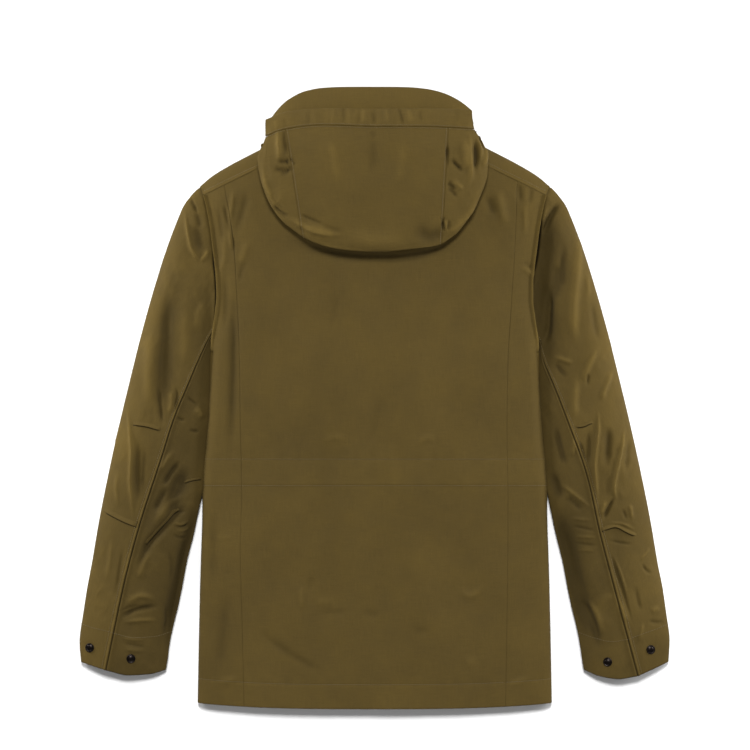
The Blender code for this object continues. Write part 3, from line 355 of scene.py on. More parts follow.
LEFT_SLEEVE_CREASES = (
    (-1.8, 1.7, -251, 696, -246, 685, -240, 673), (-1.2, 4.0, -242, 676, -239, 665, -236, 651),
    (-1.2, 6.0, -244, 660, -240, 638, -238, 619),
    (2.0, 2.1, -259, 683, -255, 654, -251, 630, -244, 616, -238, 608),
    (1.6, 2.4, -238, 608, -231, 616, -225, 626),
    (-1.7, 8.0, -276, 567, -281, 532, -283, 491, -285, 441, -288, 407),
    (-1.4, 13.0, -270, 597, -278, 529, -283, 461, -287, 400),
    (-3.0, 12.0, -243, 284, -254, 216, -270, 135, -285, 73), (-2.6, 9.0, -255, 332, -270, 291, -281, 257),
    (1.4, 8.0, -303, 515, -307, 461, -306, 396), (0.9, 8.0, -257, 556, -257, 502, -259, 458),
    (0.8, 5.0, -234, 556, -239, 534, -243, 510), (-1.4, 2.6, -295, 443, -291, 413, -288, 382),
    (1.2, 3.0, -278, 434, -276, 418, -280, 398), (-1.0, 2.2, -270, 439, -268, 423, -273, 407),
    (2.6, 2.6, -337, 423, -333, 386, -330, 359, -330, 343, -332, 311, -330, 284, -327, 252),
    (-1.6, 4.5, -322, 369, -323, 325, -322, 277), (-0.9, 3.0, -311, 358, -314, 325, -315, 284),
    (0.9, 3.0, -349, 325, -351, 298, -348, 273), (0.8, 3.5, -357, 237, -360, 203, -366, 169),
    (-0.8, 3.0, -341, 223, -346, 189, -352, 151), (-2.2, 3.0, -264, 339, -277, 321, -288, 302),
    (1.2, 3.5, -272, 352, -284, 336, -292, 320), (-1.6, 4.0, -281, 303, -292, 284, -300, 267),
    (-1.2, 1.8, -253, 379, -246, 378, -238, 377), (-0.9, 1.8, -257, 424, -249, 419, -240, 411),
    (1.3, 5.0, -246, 409, -239, 403, -234, 393), (-0.9, 1.8, -270, 397, -264, 394, -257, 392),
    (-3.0, 4.5, -251, 279, -272, 264, -292, 242, -310, 220, -322, 181),
    (1.6, 5.0, -255, 295, -281, 276, -303, 246), (1.0, 1.5, -274, 255, -264, 251, -251, 256),
    (-1.0, 1.4, -272, 248, -261, 248, -250, 254), (0.9, 1.5, -270, 243, -259, 243, -249, 248),
    (-0.8, 1.6, -276, 262, -266, 267, -255, 269), (-0.9, 2.0, -276, 238, -265, 233, -251, 234),
    (1.2, 3.0, -306, 214, -315, 194, -321, 175), (-0.9, 2.5, -281, 219, -276, 196, -277, 169),
    (1.4, 4.0, -340, 141, -319, 154, -295, 148), (-2.0, 3.2, -348, 124, -323, 136, -291, 141),
    (1.1, 2.5, -344, 118, -319, 121, -292, 121), (-0.8, 1.5, -349, 132, -333, 139, -317, 143),
    (0.7, 1.6, -346, 98, -329, 95, -310, 94), (-0.7, 1.6, -344, 90, -327, 87, -310, 84),
    (0.6, 1.6, -341, 82, -327, 80, -311, 79), (-0.9, 3.0, -285, 146, -281, 121, -288, 94),
)
RIGHT_SLEEVE_CREASES = (
    (-2.8, 3.2, 251, 690, 238, 669, 226, 643), (1.1, 3.0, 236, 684, 229, 670, 225, 657),
    (-1.6, 4.5, 257, 638, 255, 593, 256, 570), (2.1, 6.0, 274, 649, 276, 617, 270, 539, 272, 491),
    (-3.6, 5.4, 240, 578, 236, 547, 233, 515, 225, 491), (-3.2, 12.0, 248, 284, 261, 216, 279, 148, 295, 73),
    (-4.5, 17.0, 233, 692, 227, 651, 223, 608, 221, 556, 225, 502, 227, 458),
    (-1.4, 6.0, 247, 608, 247, 583, 245, 556), (0.9, 3.5, 287, 593, 289, 575, 290, 555),
    (-0.9, 4.0, 295, 556, 298, 526, 304, 496), (1.4, 3.5, 304, 495, 290, 465, 282, 445),
    (-0.8, 2.1, 289, 458, 289, 449, 289, 438), (1.4, 2.5, 241, 480, 256, 475, 271, 469),
    (-1.2, 3.0, 244, 471, 252, 461, 261, 450), (1.6, 3.2, 324, 466, 313, 437, 306, 418),
    (1.3, 4.5, 274, 453, 272, 420, 271, 389),
    (2.3, 1.9, 302, 412, 304, 382, 302, 362, 299, 333, 301, 303, 302, 271),
    (-1.2, 3.0, 291, 379, 291, 355, 290, 325), (2.3, 2.2, 340, 388, 335, 356, 329, 326, 325, 299, 329, 282),
    (-1.8, 5.0, 317, 386, 316, 359, 314, 325), (-1.1, 3.0, 346, 371, 343, 345, 339, 318),
    (-2.0, 2.0, 325, 288, 317, 273, 310, 257), (1.2, 2.5, 314, 284, 310, 273, 306, 261),
    (1.0, 1.4, 316, 253, 336, 252, 355, 243), (1.2, 2.6, 346, 280, 348, 269, 350, 256),
    (-0.8, 2.2, 336, 273, 339, 265, 342, 257), (-0.7, 1.6, 316, 230, 334, 226, 353, 224),
    (-1.7, 3.6, 247, 388, 249, 366, 255, 344, 260, 329), (1.1, 2.5, 271, 369, 270, 356, 268, 341),
    (-1.0, 2.2, 276, 366, 282, 350, 286, 333), (1.4, 2.0, 252, 307, 271, 292, 294, 273),
    (-1.6, 6.0, 242, 325, 247, 303, 256, 284), (-1.2, 3.0, 260, 290, 271, 280, 283, 269),
    (0.7, 1.5, 266, 260, 279, 258, 295, 257), (-0.8, 1.5, 267, 249, 283, 246, 302, 242),
    (0.8, 1.5, 270, 235, 286, 234, 302, 233), (-0.8, 1.5, 268, 226, 286, 224, 304, 222),
    (0.6, 1.5, 271, 216, 286, 216, 301, 215), (-1.3, 2.0, 319, 214, 329, 186, 339, 155, 350, 113),
    (0.8, 1.5, 325, 208, 335, 182, 344, 151), (0.9, 2.0, 374, 220, 368, 211, 359, 201),
    (-1.0, 2.0, 362, 199, 368, 189, 377, 184), (-2.2, 5.0, 274, 152, 289, 132, 300, 107, 304, 78),
    (1.4, 3.5, 287, 151, 302, 128, 310, 99), (1.0, 2.0, 365, 118, 362, 105, 359, 90),
    (-0.8, 2.5, 370, 120, 382, 118, 395, 118), (0.8, 4.0, 374, 132, 381, 135, 388, 136),
    (-0.9, 3.0, 353, 169, 357, 148, 361, 132), (0.9, 3.0, 334, 148, 338, 132, 343, 118),
)
HOOD_CREASES = (
    (-2.0, 2.5, -138, 732, -123, 733, -107, 732), (-1.2, 2.0, -121, 744, -117, 740, -111, 734),
    (-1.0, 2.0, -114, 748, -111, 744, -106, 737), (1.5, 4.0, -132, 778, -130, 760, -128, 738),
    (-1.2, 1.8, -102, 672, -87, 665, -66, 656), (-0.8, 4.0, -72, 657, -57, 651, -39, 647),
    (-1.4, 2.0, -142, 702, -133, 687, -122, 676), (2.0, 8.0, -98, 656, -77, 646, -53, 641),
    (2.0, 4.0, 120, 777, 125, 753, 125, 729), (-1.2, 3.0, 130, 770, 135, 747, 134, 724),
    (2.0, 3.0, 138, 777, 143, 760, 142, 743), (-1.5, 2.5, 142, 779, 146, 768, 149, 756),
    (-2.0, 3.0, 101, 748, 111, 738, 121, 729), (-1.8, 2.5, 97, 715, 104, 710, 111, 704),
    (-1.0, 2.5, 98, 762, 98, 756, 98, 748), (-1.0, 2.0, 93, 666, 93, 658, 93, 649),
    (-1.0, 2.0, 87, 664, 93, 665, 100, 666), (-1.5, 9.0, 53, 657, 75, 641, 98, 653),
    (1.0, 10.0, -47, 643, 0, 636, 48, 639), (-0.6, 4.0, -5, 786, -2, 779, 0, 772),
    (-1.0, 2.6, -122, 789, -122, 771, -121, 752), (1.4, 3.5, -132, 793, -130, 771, -128, 749),
    (-1.8, 2.2, -133, 745, -123, 743, -111, 747), (1.2, 2.0, -134, 737, -123, 734, -110, 738),
    (-1.5, 2.0, -130, 729, -121, 728, -113, 732), (-2.2, 2.5, -138, 685, -128, 675, -115, 666),
    (1.8, 3.5, -117, 669, -99, 657, -72, 647, -40, 643),
    (1.6, 3.0, -153, 740, -147, 713, -136, 690, -118, 665), (-1.3, 2.4, 98, 771, 98, 752, 98, 732),
    (1.8, 3.5, 127, 787, 130, 760, 131, 730, 125, 706), (-2.2, 2.5, 135, 774, 138, 752, 136, 730),
    (1.8, 3.0, 149, 767, 150, 749, 146, 733), (-1.6, 2.5, 98, 709, 105, 702, 113, 695),
    (1.4, 3.0, 105, 719, 113, 711, 121, 706), (-1.6, 1.8, 91, 664, 93, 656, 94, 647),
    (-1.4, 1.8, 100, 666, 100, 657, 98, 649), (1.2, 1.8, 96, 666, 96, 657, 96, 649),
    (1.4, 4.0, 143, 706, 130, 676, 113, 657, 97, 643), (0.8, 5.0, -61, 774, -54, 747, -50, 713),
    (-0.8, 6.0, -4, 779, -1, 752, -4, 722), (0.7, 6.0, 41, 774, 37, 740, 32, 706),
)
CASING_CREASES = (
    (1.3, 3.0, 15, 817, 17, 805, 17, 792), (-1.8, 2.5, 32, 820, 36, 806, 38, 792),
    (1.5, 3.5, 45, 817, 48, 805, 51, 792), (-1.2, 2.5, 62, 817, 62, 806, 63, 796),
    (1.0, 4.0, -17, 817, -15, 805, -15, 792), (-0.8, 2.5, -4, 815, -2, 804, -1, 792),
    (-0.8, 3.0, -122, 806, -121, 796, -119, 783), (0.8, 3.0, -134, 804, -133, 793, -133, 782),
    (-0.7, 3.0, 109, 817, 111, 806, 111, 794),
)
SLEEVE_CREASES = {"left": LEFT_SLEEVE_CREASES, "right": RIGHT_SLEEVE_CREASES}
# Lapped folds of the sleeves. A row says height, how far back the fold slopes, and then x, up and so on.
LIPS = {
    "left": (
        (2.0, 7.0, -328.8, 386.8, -320.6, 385.7, -310.4, 384.3, -300.2, 381.5, -290.0, 378.4),
        (1.8, 8.0, -370.9, 270.6, -360.1, 264.5, -349.2, 258.8, -336.9, 253.0, -323.3, 248.1),
        (1.4, 4.0, -259.4, 307.1, -251.3, 310.1, -243.1, 311.7, -234.9, 312.5),
        (2.0, 5.0, -311.1, 223.0, -302.9, 232.6, -292.1, 244.8, -282.5, 254.9, -273.0, 265.9, -264.9, 271.3),
    ),
    "right": (
        (2.0, 5.0, 273.0, 383.1, 279.1, 383.5, 285.3, 384.9, 290.7, 387.6, 296.1, 389.5),
        (2.6, 6.0, 307.7, 242.1, 317.2, 245.3, 325.4, 247.5, 332.2,
         245.9, 340.3, 241.3, 348.5, 237.5, 355.3, 235.3),
    ),
}


# Lines and heights --------------------------------------------------------------------------------


@lru_cache(maxsize=None)
def table_line(rows, column):
    """Places, values and slopes of a table's column, in order of the places."""
    table = np.array([[float(v) for v in row] for row in rows])
    table = table[np.argsort(table[:, 0])]
    x, y = table[:, 0], table[:, column]
    return x, y, np.gradient(y, x)


def curve(rows, place, column=1):
    """A smooth line through one column of a table, read at a place of its first column."""
    x, y, slope = table_line(rows, column)
    place = min(max(place, x[0]), x[-1])
    i = min(max(int(np.searchsorted(x, place)) - 1, 0), len(x) - 2)
    step = x[i + 1] - x[i]
    t = (place - x[i]) / step
    start = (1 + 2 * t) * (1 - t) ** 2 * y[i] + t * (1 - t) ** 2 * step * slope[i]
    return start + t * t * (3 - 2 * t) * y[i + 1] + t * t * (t - 1) * step * slope[i + 1]


def along(points, place):
    """A smooth line through points, read at a place counted in points."""
    numbered = tuple((n, *p) for n, p in enumerate(points))
    return np.array([curve(numbered, place, c + 1) for c in range(len(points[0]))])


def bend(share, power=0.5):
    """The height of a rounded edge, from 0 at its outermost line to 1 where it is flat."""
    share = np.clip(share, 0.0, 1.0)
    return (1 - (1 - share) ** 2) ** power


def mix(a, b, t):
    """Between a and b, by a share."""
    return a + (b - a) * t


def fan(count):
    """Places from 0 to 1 that lie closest together near 0, as on a round edge."""
    return 1 - np.cos(np.linspace(0, math.pi / 2, count))


def hem_up(across):
    """How far up the hem is."""
    return HEM_LOW + HEM_RISE * (abs(across) / BODY[0][1]) ** 3


def shoulder_seam_up(across):
    share = (across - NECK_SEAM[0]) / (curve(BODY, ARMHOLE_TOP) - NECK_SEAM[0])
    return mix(NECK_SEAM[1], ARMHOLE_TOP, share)


def back_top_up(across):
    """The upper edge of the back: the collar seam, then the shoulder seam."""
    across = abs(across)
    if across < NECK_SEAM[0]:
        return mix(NECK_BACK, NECK_SEAM[1], (across / NECK_SEAM[0]) ** 2)
    return shoulder_seam_up(across)


def crown(x, up):
    """Height of the laid body without its rounded edges."""
    wide = curve(BODY, min(up, ARMHOLE_TOP))
    return curve(CROWN, up) * (1 - CROWN_FALL * min(abs(x) / wide, 1.0) ** 2.5)


def armhole_z(up):
    """Height of the armhole seam on the upper layer: it rises from the fold at the underarm."""
    return FOLD_R + (ARMHOLE_Z - FOLD_R) * bend((up - UNDERARM) / ARCH)


def armhole_under_z(up):
    """The same on the lower layer: it comes down to the floor."""
    return FOLD_R * (1 - bend((up - UNDERARM) / (1.5 * FOLD_UNDER)))


def back_z(x, up):
    """Height of the upper layer of the body."""
    inside = curve(BODY, min(up, ARMHOLE_TOP)) - abs(x)
    above = np.clip((up - UNDERARM) / ARMHOLE_START, 0.0, 1.0)
    edge = FOLD_R if up <= UNDERARM else armhole_z(up)
    reach = FOLD_TOP * (1 + above)
    z = edge + (crown(x, up) - edge) * bend(inside / reach, 0.5 + 0.5 * above)
    if abs(x) < SHOULDER[0][0]:
        to_fold = SHOULDER[0][1] + 2 * (SHOULDER[0][0] - abs(x)) - up
    else:
        to_fold = curve(SHOULDER, abs(x)) - up
    return FOLD_R + (z - FOLD_R) * bend(0.9 * to_fold / SHOULDER_TOP)


def under_z(up, inside):
    """Height of the lower layer of the body, which lies on the floor but for its edge."""
    edge = FOLD_R if up <= UNDERARM else armhole_under_z(up)
    return edge * (1 - bend(inside / FOLD_UNDER))


# The body -----------------------------------------------------------------------------------------


def seam_start(side):
    """Where the seam of a sleeve leaves the armhole."""
    return SLEEVE_SEAM[side][0][0]


def armhole_ups(side):
    """How far up the armhole's points are, from the underarm to the shoulder seam."""
    start = seam_start(side)
    low = [mix(UNDERARM, start, t) for t in fan(6)]
    return low + [mix(start, ARMHOLE_TOP, t) for t in np.linspace(0, 1, 9)[1:]]


def body_ups(side):
    """How far up the body's sections meet its side and its armhole."""
    low = np.linspace(0, UNDERARM, 13)[:-1]
    return [float(v) for v in low] + armhole_ups(side)


def shoulder_wrap(start, seam):
    """Sections round the shoulder fold: from the floor to its outermost line, and over to its seam."""
    under = [(start + np.array([-2.0, -FOLD_UNDER]) * f, FOLD_R * (1 - bend(f))) for f in fan(4)[:0:-1]]
    over = [(mix(start, seam, f), None) for f in fan(OVER_FOLD)]
    return under + over


def on_body(point, z, side):
    """A point with its height, from (across, up) and the side that it is on."""
    x = SIDES[side] * point[0]
    return (x, point[1], back_z(x, point[1]) if z is None else z)


def armhole(side):
    """The whole armhole seam: up the back from the underarm, over the shoulder and down the front."""
    top = [(float(curve(BODY, up)), up) for up in armhole_ups(side)]
    wrap = shoulder_wrap(np.array(SHOULDER[-1]), np.array(top[-1]))
    over = [on_body(p, z, side) for p, z in reversed(wrap)]
    back = [on_body(p, None, side) for p in top[:-1]]
    front = [on_body(p, armhole_under_z(p[1]), side) for p in reversed(top[:-1])]
    return back + over, front


def hem_or(up, across):
    """Lifts the lowest sections to the hem's own curve."""
    low = hem_up(across)
    return low + up * (UNDERARM - low) / UNDERARM if up < UNDERARM else up


def princess_place(side, up):
    """Where a section of the body meets the seam beside the centre back: across and up."""
    column = 1 if side == "left" else 2
    top = shoulder_seam_up(curve(PRINCESS, PRINCESS_TOP, column))
    share = max(0.0, (up - LEVEL_UP) / (ARMHOLE_TOP - LEVEL_UP))
    lifted = up + (top - ARMHOLE_TOP) * share**2
    return curve(PRINCESS, lifted, column), lifted


def side_back(side):
    """A side back: sections up from the hem, each from its inner seam outward."""
    rows = []
    for up in body_ups(side):
        on_armhole = up > UNDERARM
        outer = curve(BODY, up) - (SEAM if on_armhole else 0.0)
        inner, inner_up = princess_place(side, up)
        row = []
        for f in (0.0, 0.35, *(1 - fan(6)[:0:-1] * 0.42), 1.0):
            across = mix(inner + SEAM, outer, f)
            level = hem_or(mix(inner_up, up, f), across) - (SEAM if up >= ARMHOLE_TOP else 0.0)
            x = SIDES[side] * across
            z = back_z(x, level)
            if f == 1.0 and not on_armhole:
                z += ROUND_SEAM
            elif f == 1.0 and up < ARMHOLE_FLAT:
                z = armhole_z(up)
            row.append((x, level, z))
        rows.append(row)
    return rows


def center_back():
    """The centre back: sections up from the hem to the collar and the shoulder seams."""
    rows = []
    neck = NECK_SEAM[0]
    for left_up, right_up in zip(body_ups("left"), body_ups("right")):
        left, left_level = princess_place("left", left_up)
        right, right_level = princess_place("right", right_up)
        ends = (-left + SEAM, right - SEAM)
        inner = [neck * f for f in (-1, -0.8, -0.6, -0.4, -0.2, 0, 0.2, 0.4, 0.6, 0.8, 1)]
        xs = [ends[0], mix(ends[0], -neck, 0.5), *inner, mix(ends[1], neck, 0.5), ends[1]]
        last = left_up >= ARMHOLE_TOP
        row = []
        for x in xs:
            t = (x - ends[0]) / (ends[1] - ends[0])
            share = mix(left_level, right_level, t) / mix(
                princess_place("left", ARMHOLE_TOP)[1], princess_place("right", ARMHOLE_TOP)[1], t
            )
            level = mix(hem_up(x), back_top_up(x), share) - (SEAM if last else 0.0)
            row.append((x, level, back_z(x, level)))
        rows.append(row)
    return rows


def neck_front(side):
    """The front's inner edge above the zip: the collar seam, then over the shoulder fold to its seam."""
    flat = NECK_FRONT[:-1]
    wrap = shoulder_wrap(np.array(SHOULDER[0]), np.array(NECK_SEAM))
    return [on_body(p, 0.0, side) for p in flat] + [on_body(p, z, side) for p, z in wrap]


def front(side):
    """A front from its hem to its shoulder, and over the fold to the seam on the upper layer."""
    over, under = armhole(side)
    rise = [(float(curve(BODY, up)), up) for up in body_ups(side) if up < UNDERARM]
    wrap_count = len(shoulder_wrap(np.zeros(2), np.zeros(2)))
    outer = [(SIDES[side] * a, hem_or(up, a), FOLD_R - 1.4 * ROUND_SEAM) for a, up in rise]
    x, up, z = under[-1]
    outer.append((x, up, z - 1.4 * ROUND_SEAM))
    outer += list(reversed(under[:-1])) + list(reversed(over[-wrap_count:]))
    inner_edge = neck_front(side)
    low = len(outer) - len(inner_edge) + 1
    start = inner_edge[0]
    inner = [(start[0], mix(hem_up(0.0), start[1], i / (low - 1)), 0.0) for i in range(low)]
    inner += [(x, up, z) for x, up, z in inner_edge[1:]]
    rows = []
    sign = SIDES[side]
    for i, (a, b) in enumerate(zip(inner, outer)):
        row = []
        left_to_go = len(outer) - 1 - i
        last = left_to_go == 0
        for f in (0.0, 0.3, 0.6, 0.85, *(1 - fan(5)[:0:-1] * 0.04), 1.0):
            x, up = mix(a[0], b[0], f), mix(a[1], b[1], f)
            if left_to_go < wrap_count:
                chord = mix(SHOULDER[0][1], SHOULDER[-1][1], f)
                spread = mix(SHOULDER[0][0], SHOULDER[-1][0], f)
                up += 0.0 if last else curve(SHOULDER, spread) - chord
                z = back_z(x, up) if left_to_go < OVER_FOLD - 1 else mix(a[2], b[2], f)
            else:
                z = under_z(b[1], abs(b[0]) - abs(x)) if f < 1.0 else b[2]
            if f == 0.0:
                x = sign * (abs(x) + (SEAM if i >= low else 0.0))
            if f == 1.0 and b[1] > UNDERARM:
                x -= sign * SEAM
            row.append((x, up + (ROUND_SEAM if last else 0.0), max(z, 0.0)))
        rows.append(row)
    return rows


# The sleeves --------------------------------------------------------------------------------------


def inner_edge(up):
    """Half width where a sleeve's inner fold lies."""
    beside = curve(BODY, up) + SIDE_GAP
    free = curve(SLEEVE_INNER, up)
    t = np.clip((up - LEAVES_SIDE) / 20.0 + 0.5, 0.0, 1.0)
    return mix(free, beside, t)


def sleeve_rows(side):
    """The table of sections with the two ends of this side's seam put in, and its start evened out."""
    start, end = SLEEVE_SEAM[side][0][0], SLEEVE_SEAM[side][-1][0]
    shift = start - SLEEVE_SEAM["left"][0][0]
    rows = []
    for i, (outer, seam, inner, height) in enumerate(SLEEVE_SECTIONS):
        if seam is None:
            seam = start if i == 0 else end
        elif i < 4:
            seam += shift * (1 - i / 4)
        rows.append((outer, seam, inner, height))
    return rows


def sleeve_section(side, place):
    """One section, between whole rows of the table too: its three points (across, up) and its height."""
    outer_up, seam_up, inner_up, height = along(sleeve_rows(side), place)
    outer = np.array([curve(SLEEVE_OUTER, outer_up), outer_up])
    seam = np.array([curve(SLEEVE_SEAM[side], seam_up), seam_up])
    inner = np.array([inner_edge(inner_up), inner_up])
    return outer, seam, inner, height


def under_height(height, distance):
    """Height of the under sleeve on its upper layer, at a distance from its inner fold."""
    return FOLD_R + (height - FOLD_R) * bend(distance / SLEEVE_ROUND, 0.8)


def upper_sleeve_top(side, place, share):
    """A point of the upper layer of a sleeve's outer piece: share runs from its seam to its outer fold."""
    outer, seam, inner, height = sleeve_section(side, place)
    start = under_height(height, np.linalg.norm(seam - inner))
    reach = mix(SHOULDER_TOP, SLEEVE_TOP, min(place / SLEEVE_HEAD, 1.0))
    point = mix(seam, outer, share)
    arch = max(0.0, 1 - place / SLEEVE_HEAD) ** 1.3
    if arch > 0:
        loop = armhole_plan(side, share)
        chord = mix(armhole_plan(side, 0.0), armhole_plan(side, 1.0), share)
        point = point + arch * (loop - chord)
    to_fold = np.linalg.norm(point - outer)
    z = FOLD_R + (mix(start, height, min(1.0, share * 2)) - FOLD_R) * bend(to_fold / reach)
    return point, z


def armhole_plan(side, share):
    """The armhole seam of the upper layer seen from above: share runs from the sleeve's seam to the fold."""
    start = seam_start(side)
    up = start + share * (SHOULDER[-1][1] - start)
    if up <= ARMHOLE_TOP:
        return np.array([curve(BODY, up), up])
    t = (up - ARMHOLE_TOP) / (SHOULDER[-1][1] - ARMHOLE_TOP)
    return mix(np.array([curve(BODY, ARMHOLE_TOP), ARMHOLE_TOP]), np.array(SHOULDER[-1]), t)


def sleeve_gap(section):
    """How far a sleeve's two pieces stay from their seam, wider where it starts on the steep armhole."""
    return ROUND_SEAM * (2.0 if section < 4 else 1.0)


def upper_sleeve(side):
    """The outer piece of a sleeve, from its seam over the outer fold and back to the inner edge."""
    sign = SIDES[side]
    over, under = armhole(side)
    loop = over[SLEEVE_TURN:] + under[: len(under) - SLEEVE_TURN]
    first = [(x + sign * SEAM, up, z) for x, up, z in loop]
    for end in (0, -1):
        x, up, z = first[end]
        first[end] = (x + sign * ROUND_SEAM, up + 4 * ROUND_SEAM, z)
    crest = len(over) - SLEEVE_TURN - 4  # the point of the loop on the fold's outermost line
    start = seam_start(side)
    span = SHOULDER[-1][1] - start
    shares = [(p[1] - start) / span for p in loop[: crest + 1]]
    shares[-1] = 1.0
    below = [(p[1] - start) / span for p in loop[crest + 1 :]]
    rows = [first]
    for i in SLEEVE_PLACES[1:]:
        outer, seam, _, _ = sleeve_section(side, i)
        even = min(1.0, i / SLEEVE_HEAD)
        long = np.linalg.norm(outer - seam)
        edge = [1 - f * min(0.5, FOLD_TOP / long) for f in fan(5)[:0:-1]]
        count = len(shares) - len(edge) - 1
        wanted = list(np.linspace(0, edge[0], count + 1)[:-1]) + edge + [1.0]
        low_edge = [1 - f * min(0.5, FOLD_UNDER / long) for f in fan(4)[1:]]
        low_wanted = low_edge + list(np.linspace(low_edge[-1], 0, len(below) - len(low_edge) + 1)[1:])
        row = []
        for own, want in zip(shares, wanted):
            share = mix(own, want, even)
            point, z = upper_sleeve_top(side, i, share)
            row.append((sign * (point[0] + (sleeve_gap(i) if share == 0 else 0)), point[1], z))
        for own, want in zip(below, low_wanted):
            share = mix(own, want, even)
            point, _ = upper_sleeve_top(side, i, share)
            z = FOLD_R * (1 - bend(np.linalg.norm(point - outer) / FOLD_UNDER))
            row.append((sign * (point[0] + (sleeve_gap(i) if want == 0 else 0)), point[1], z))
        rows.append(row)
    return rows


def under_sleeve(side):
    """The under piece of a sleeve, from its seam round the inner fold."""
    sign = SIDES[side]
    over, under = armhole(side)
    lower = under[len(under) - SLEEVE_TURN - 1 :]
    loop = over[SLEEVE_TURN::-1] + lower[-2::-1]
    first = [(x + sign * SEAM, up, z) for x, up, z in loop]
    for end in (0, -1):
        x, up, z = first[end]
        first[end] = (x, up - 2 * ROUND_SEAM, z)
    rows = [first]
    for i in SLEEVE_PLACES[1:]:
        _, seam, inner, height = sleeve_section(side, i)
        long = np.linalg.norm(seam - inner)
        near = min(0.6, FOLD_TOP * 1.4 / long)
        tops = [1.0, mix(near, 1.0, 0.5), *(fan(4)[:0:-1] * near), 0.0]
        low_near = min(0.5, FOLD_UNDER / long)
        lows = [*(fan(4)[1:] * low_near), mix(low_near, 1.0, 0.5), 1.0]
        sag = CUFF_SAG * max(0.0, i - (len(SLEEVE_SECTIONS) - 4)) / 3.0
        row = []
        for f, top in [(f, True) for f in tops] + [(f, False) for f in lows]:
            point = mix(inner, seam, f)
            distance = f * long
            if top:
                z = under_height(height, distance)
            else:
                z = FOLD_R * (1 - bend(distance / FOLD_UNDER))
            across = point[0] - (sleeve_gap(i) if f == 1.0 else 0.0)
            row.append((sign * across, point[1] - sag * 4 * f * (1 - f), z))
        rows.append(row)
    return rows


# The collar ---------------------------------------------------------------------------------------


def collar():
    """One strip from the zip round the neck and back to the zip, from the neck seam to its top edge."""
    lift = 2 * SEAM
    low, top = [], []
    neck = [NECK_SEAM[0] * f for f in (0.8, 0.6, 0.4, 0.2, 0, -0.2, -0.4, -0.6, -0.8)]
    middle = [(x, back_top_up(x) + lift, back_z(x, back_top_up(x))) for x in neck]
    for side in ("right", "left"):
        sign = SIDES[side]
        tip_x, tip_up, power = COLLAR_TIP[side]
        edge = neck_front(side)
        crest = len(edge) - 5
        near, far = [], []
        for i, (x, up, z) in enumerate(edge):
            near.append((x - sign * lift * (0.0 if i == 0 else 0.8), up + lift * 0.6, z))
            if i <= crest:
                f = i / crest
                z_top = COLLAR_R * (1 - bend((1 - f) * tip_x / FOLD_UNDER))
                far.append((sign * mix(CENTRE_FRONT, tip_x, f**0.7), mix(COLLAR_FRONT, tip_up, f**2), z_top))
            else:
                share = 1 - 0.16 * fan(5)[i - crest]
                far.append((sign * tip_x * share, None, None))
        low.append(near)
        top.append(far)
    bottom_row = low[0] + middle + list(reversed(low[1]))
    top_row = top[0] + [(x / NECK_SEAM[0] * 118.0, None, None) for x in neck] + list(reversed(top[1]))
    finished = []
    for x, up, z in top_row:
        if up is None:
            tip_x, tip_up, power = COLLAR_TIP["left" if x < 0 else "right"]
            share = min(abs(x) / tip_x, 1.0)
            up = LENGTH - (LENGTH - tip_up) * share**power
            z = COLLAR_R + (COLLAR_TOP - COLLAR_R) * bend((1 - share) * tip_x / 25.0)
        finished.append((x, up, z))
    rows = []
    for t in (0.0, 0.25, 0.5, 0.7, 0.85, 1.0):
        row = []
        for a, b in zip(bottom_row, finished):
            drop = t**2.5 if a[2] > COLLAR_R else t
            row.append((mix(a[0], b[0], t), mix(a[1], b[1], t), mix(a[2], b[2], drop)))
        rows.append(row)
    return rows


# The hood -----------------------------------------------------------------------------------------

# Close points along the hood's edge.
EDGE_LINE = np.array([along(HOOD_EDGE, t) for t in np.linspace(0, len(HOOD_EDGE) - 1, 211)])


def from_edge(x, up):
    """Distance from the hood's edge."""
    return float(np.linalg.norm(EDGE_LINE - np.array([x, up]), axis=1).min())


def rest_z(x, up):
    """What the dropped hood lies on: the crown of the back, and the collar beyond it."""
    return crown(min(abs(x), 215.0), min(up, LENGTH))


def hood_z(x, up):
    """Height of the dropped hood's outer cloth."""
    middle = rest_z(x, up) + HOOD_MID
    toward_mouth = np.clip((up - 640.0) / 100.0, 0.0, 1.0)
    full = mix(HOOD_LOW, HOOD_TOP, math.sin(toward_mouth * math.pi / 2)) - 7.0 * (x / 150.0) ** 2
    full -= 7.0 * np.clip((up - 740.0) / 50.0, 0.0, 1.0) ** 2
    return middle + (full - middle) * bend(from_edge(x, up) / HOOD_ROUND)


def mouth_point(x, share=0.0):
    """A point of the casing, from its seam at 0 to its free edge at 1."""
    seam_up, free_up = curve(HOOD_MOUTH, x, 1), curve(HOOD_MOUTH, x, 2)
    return np.array([x, mix(seam_up, free_up, share)])


def hood_column(x, place):
    """The two ends of a line down the hood, from its casing to its edge."""
    return mouth_point(x), along(HOOD_EDGE, place)


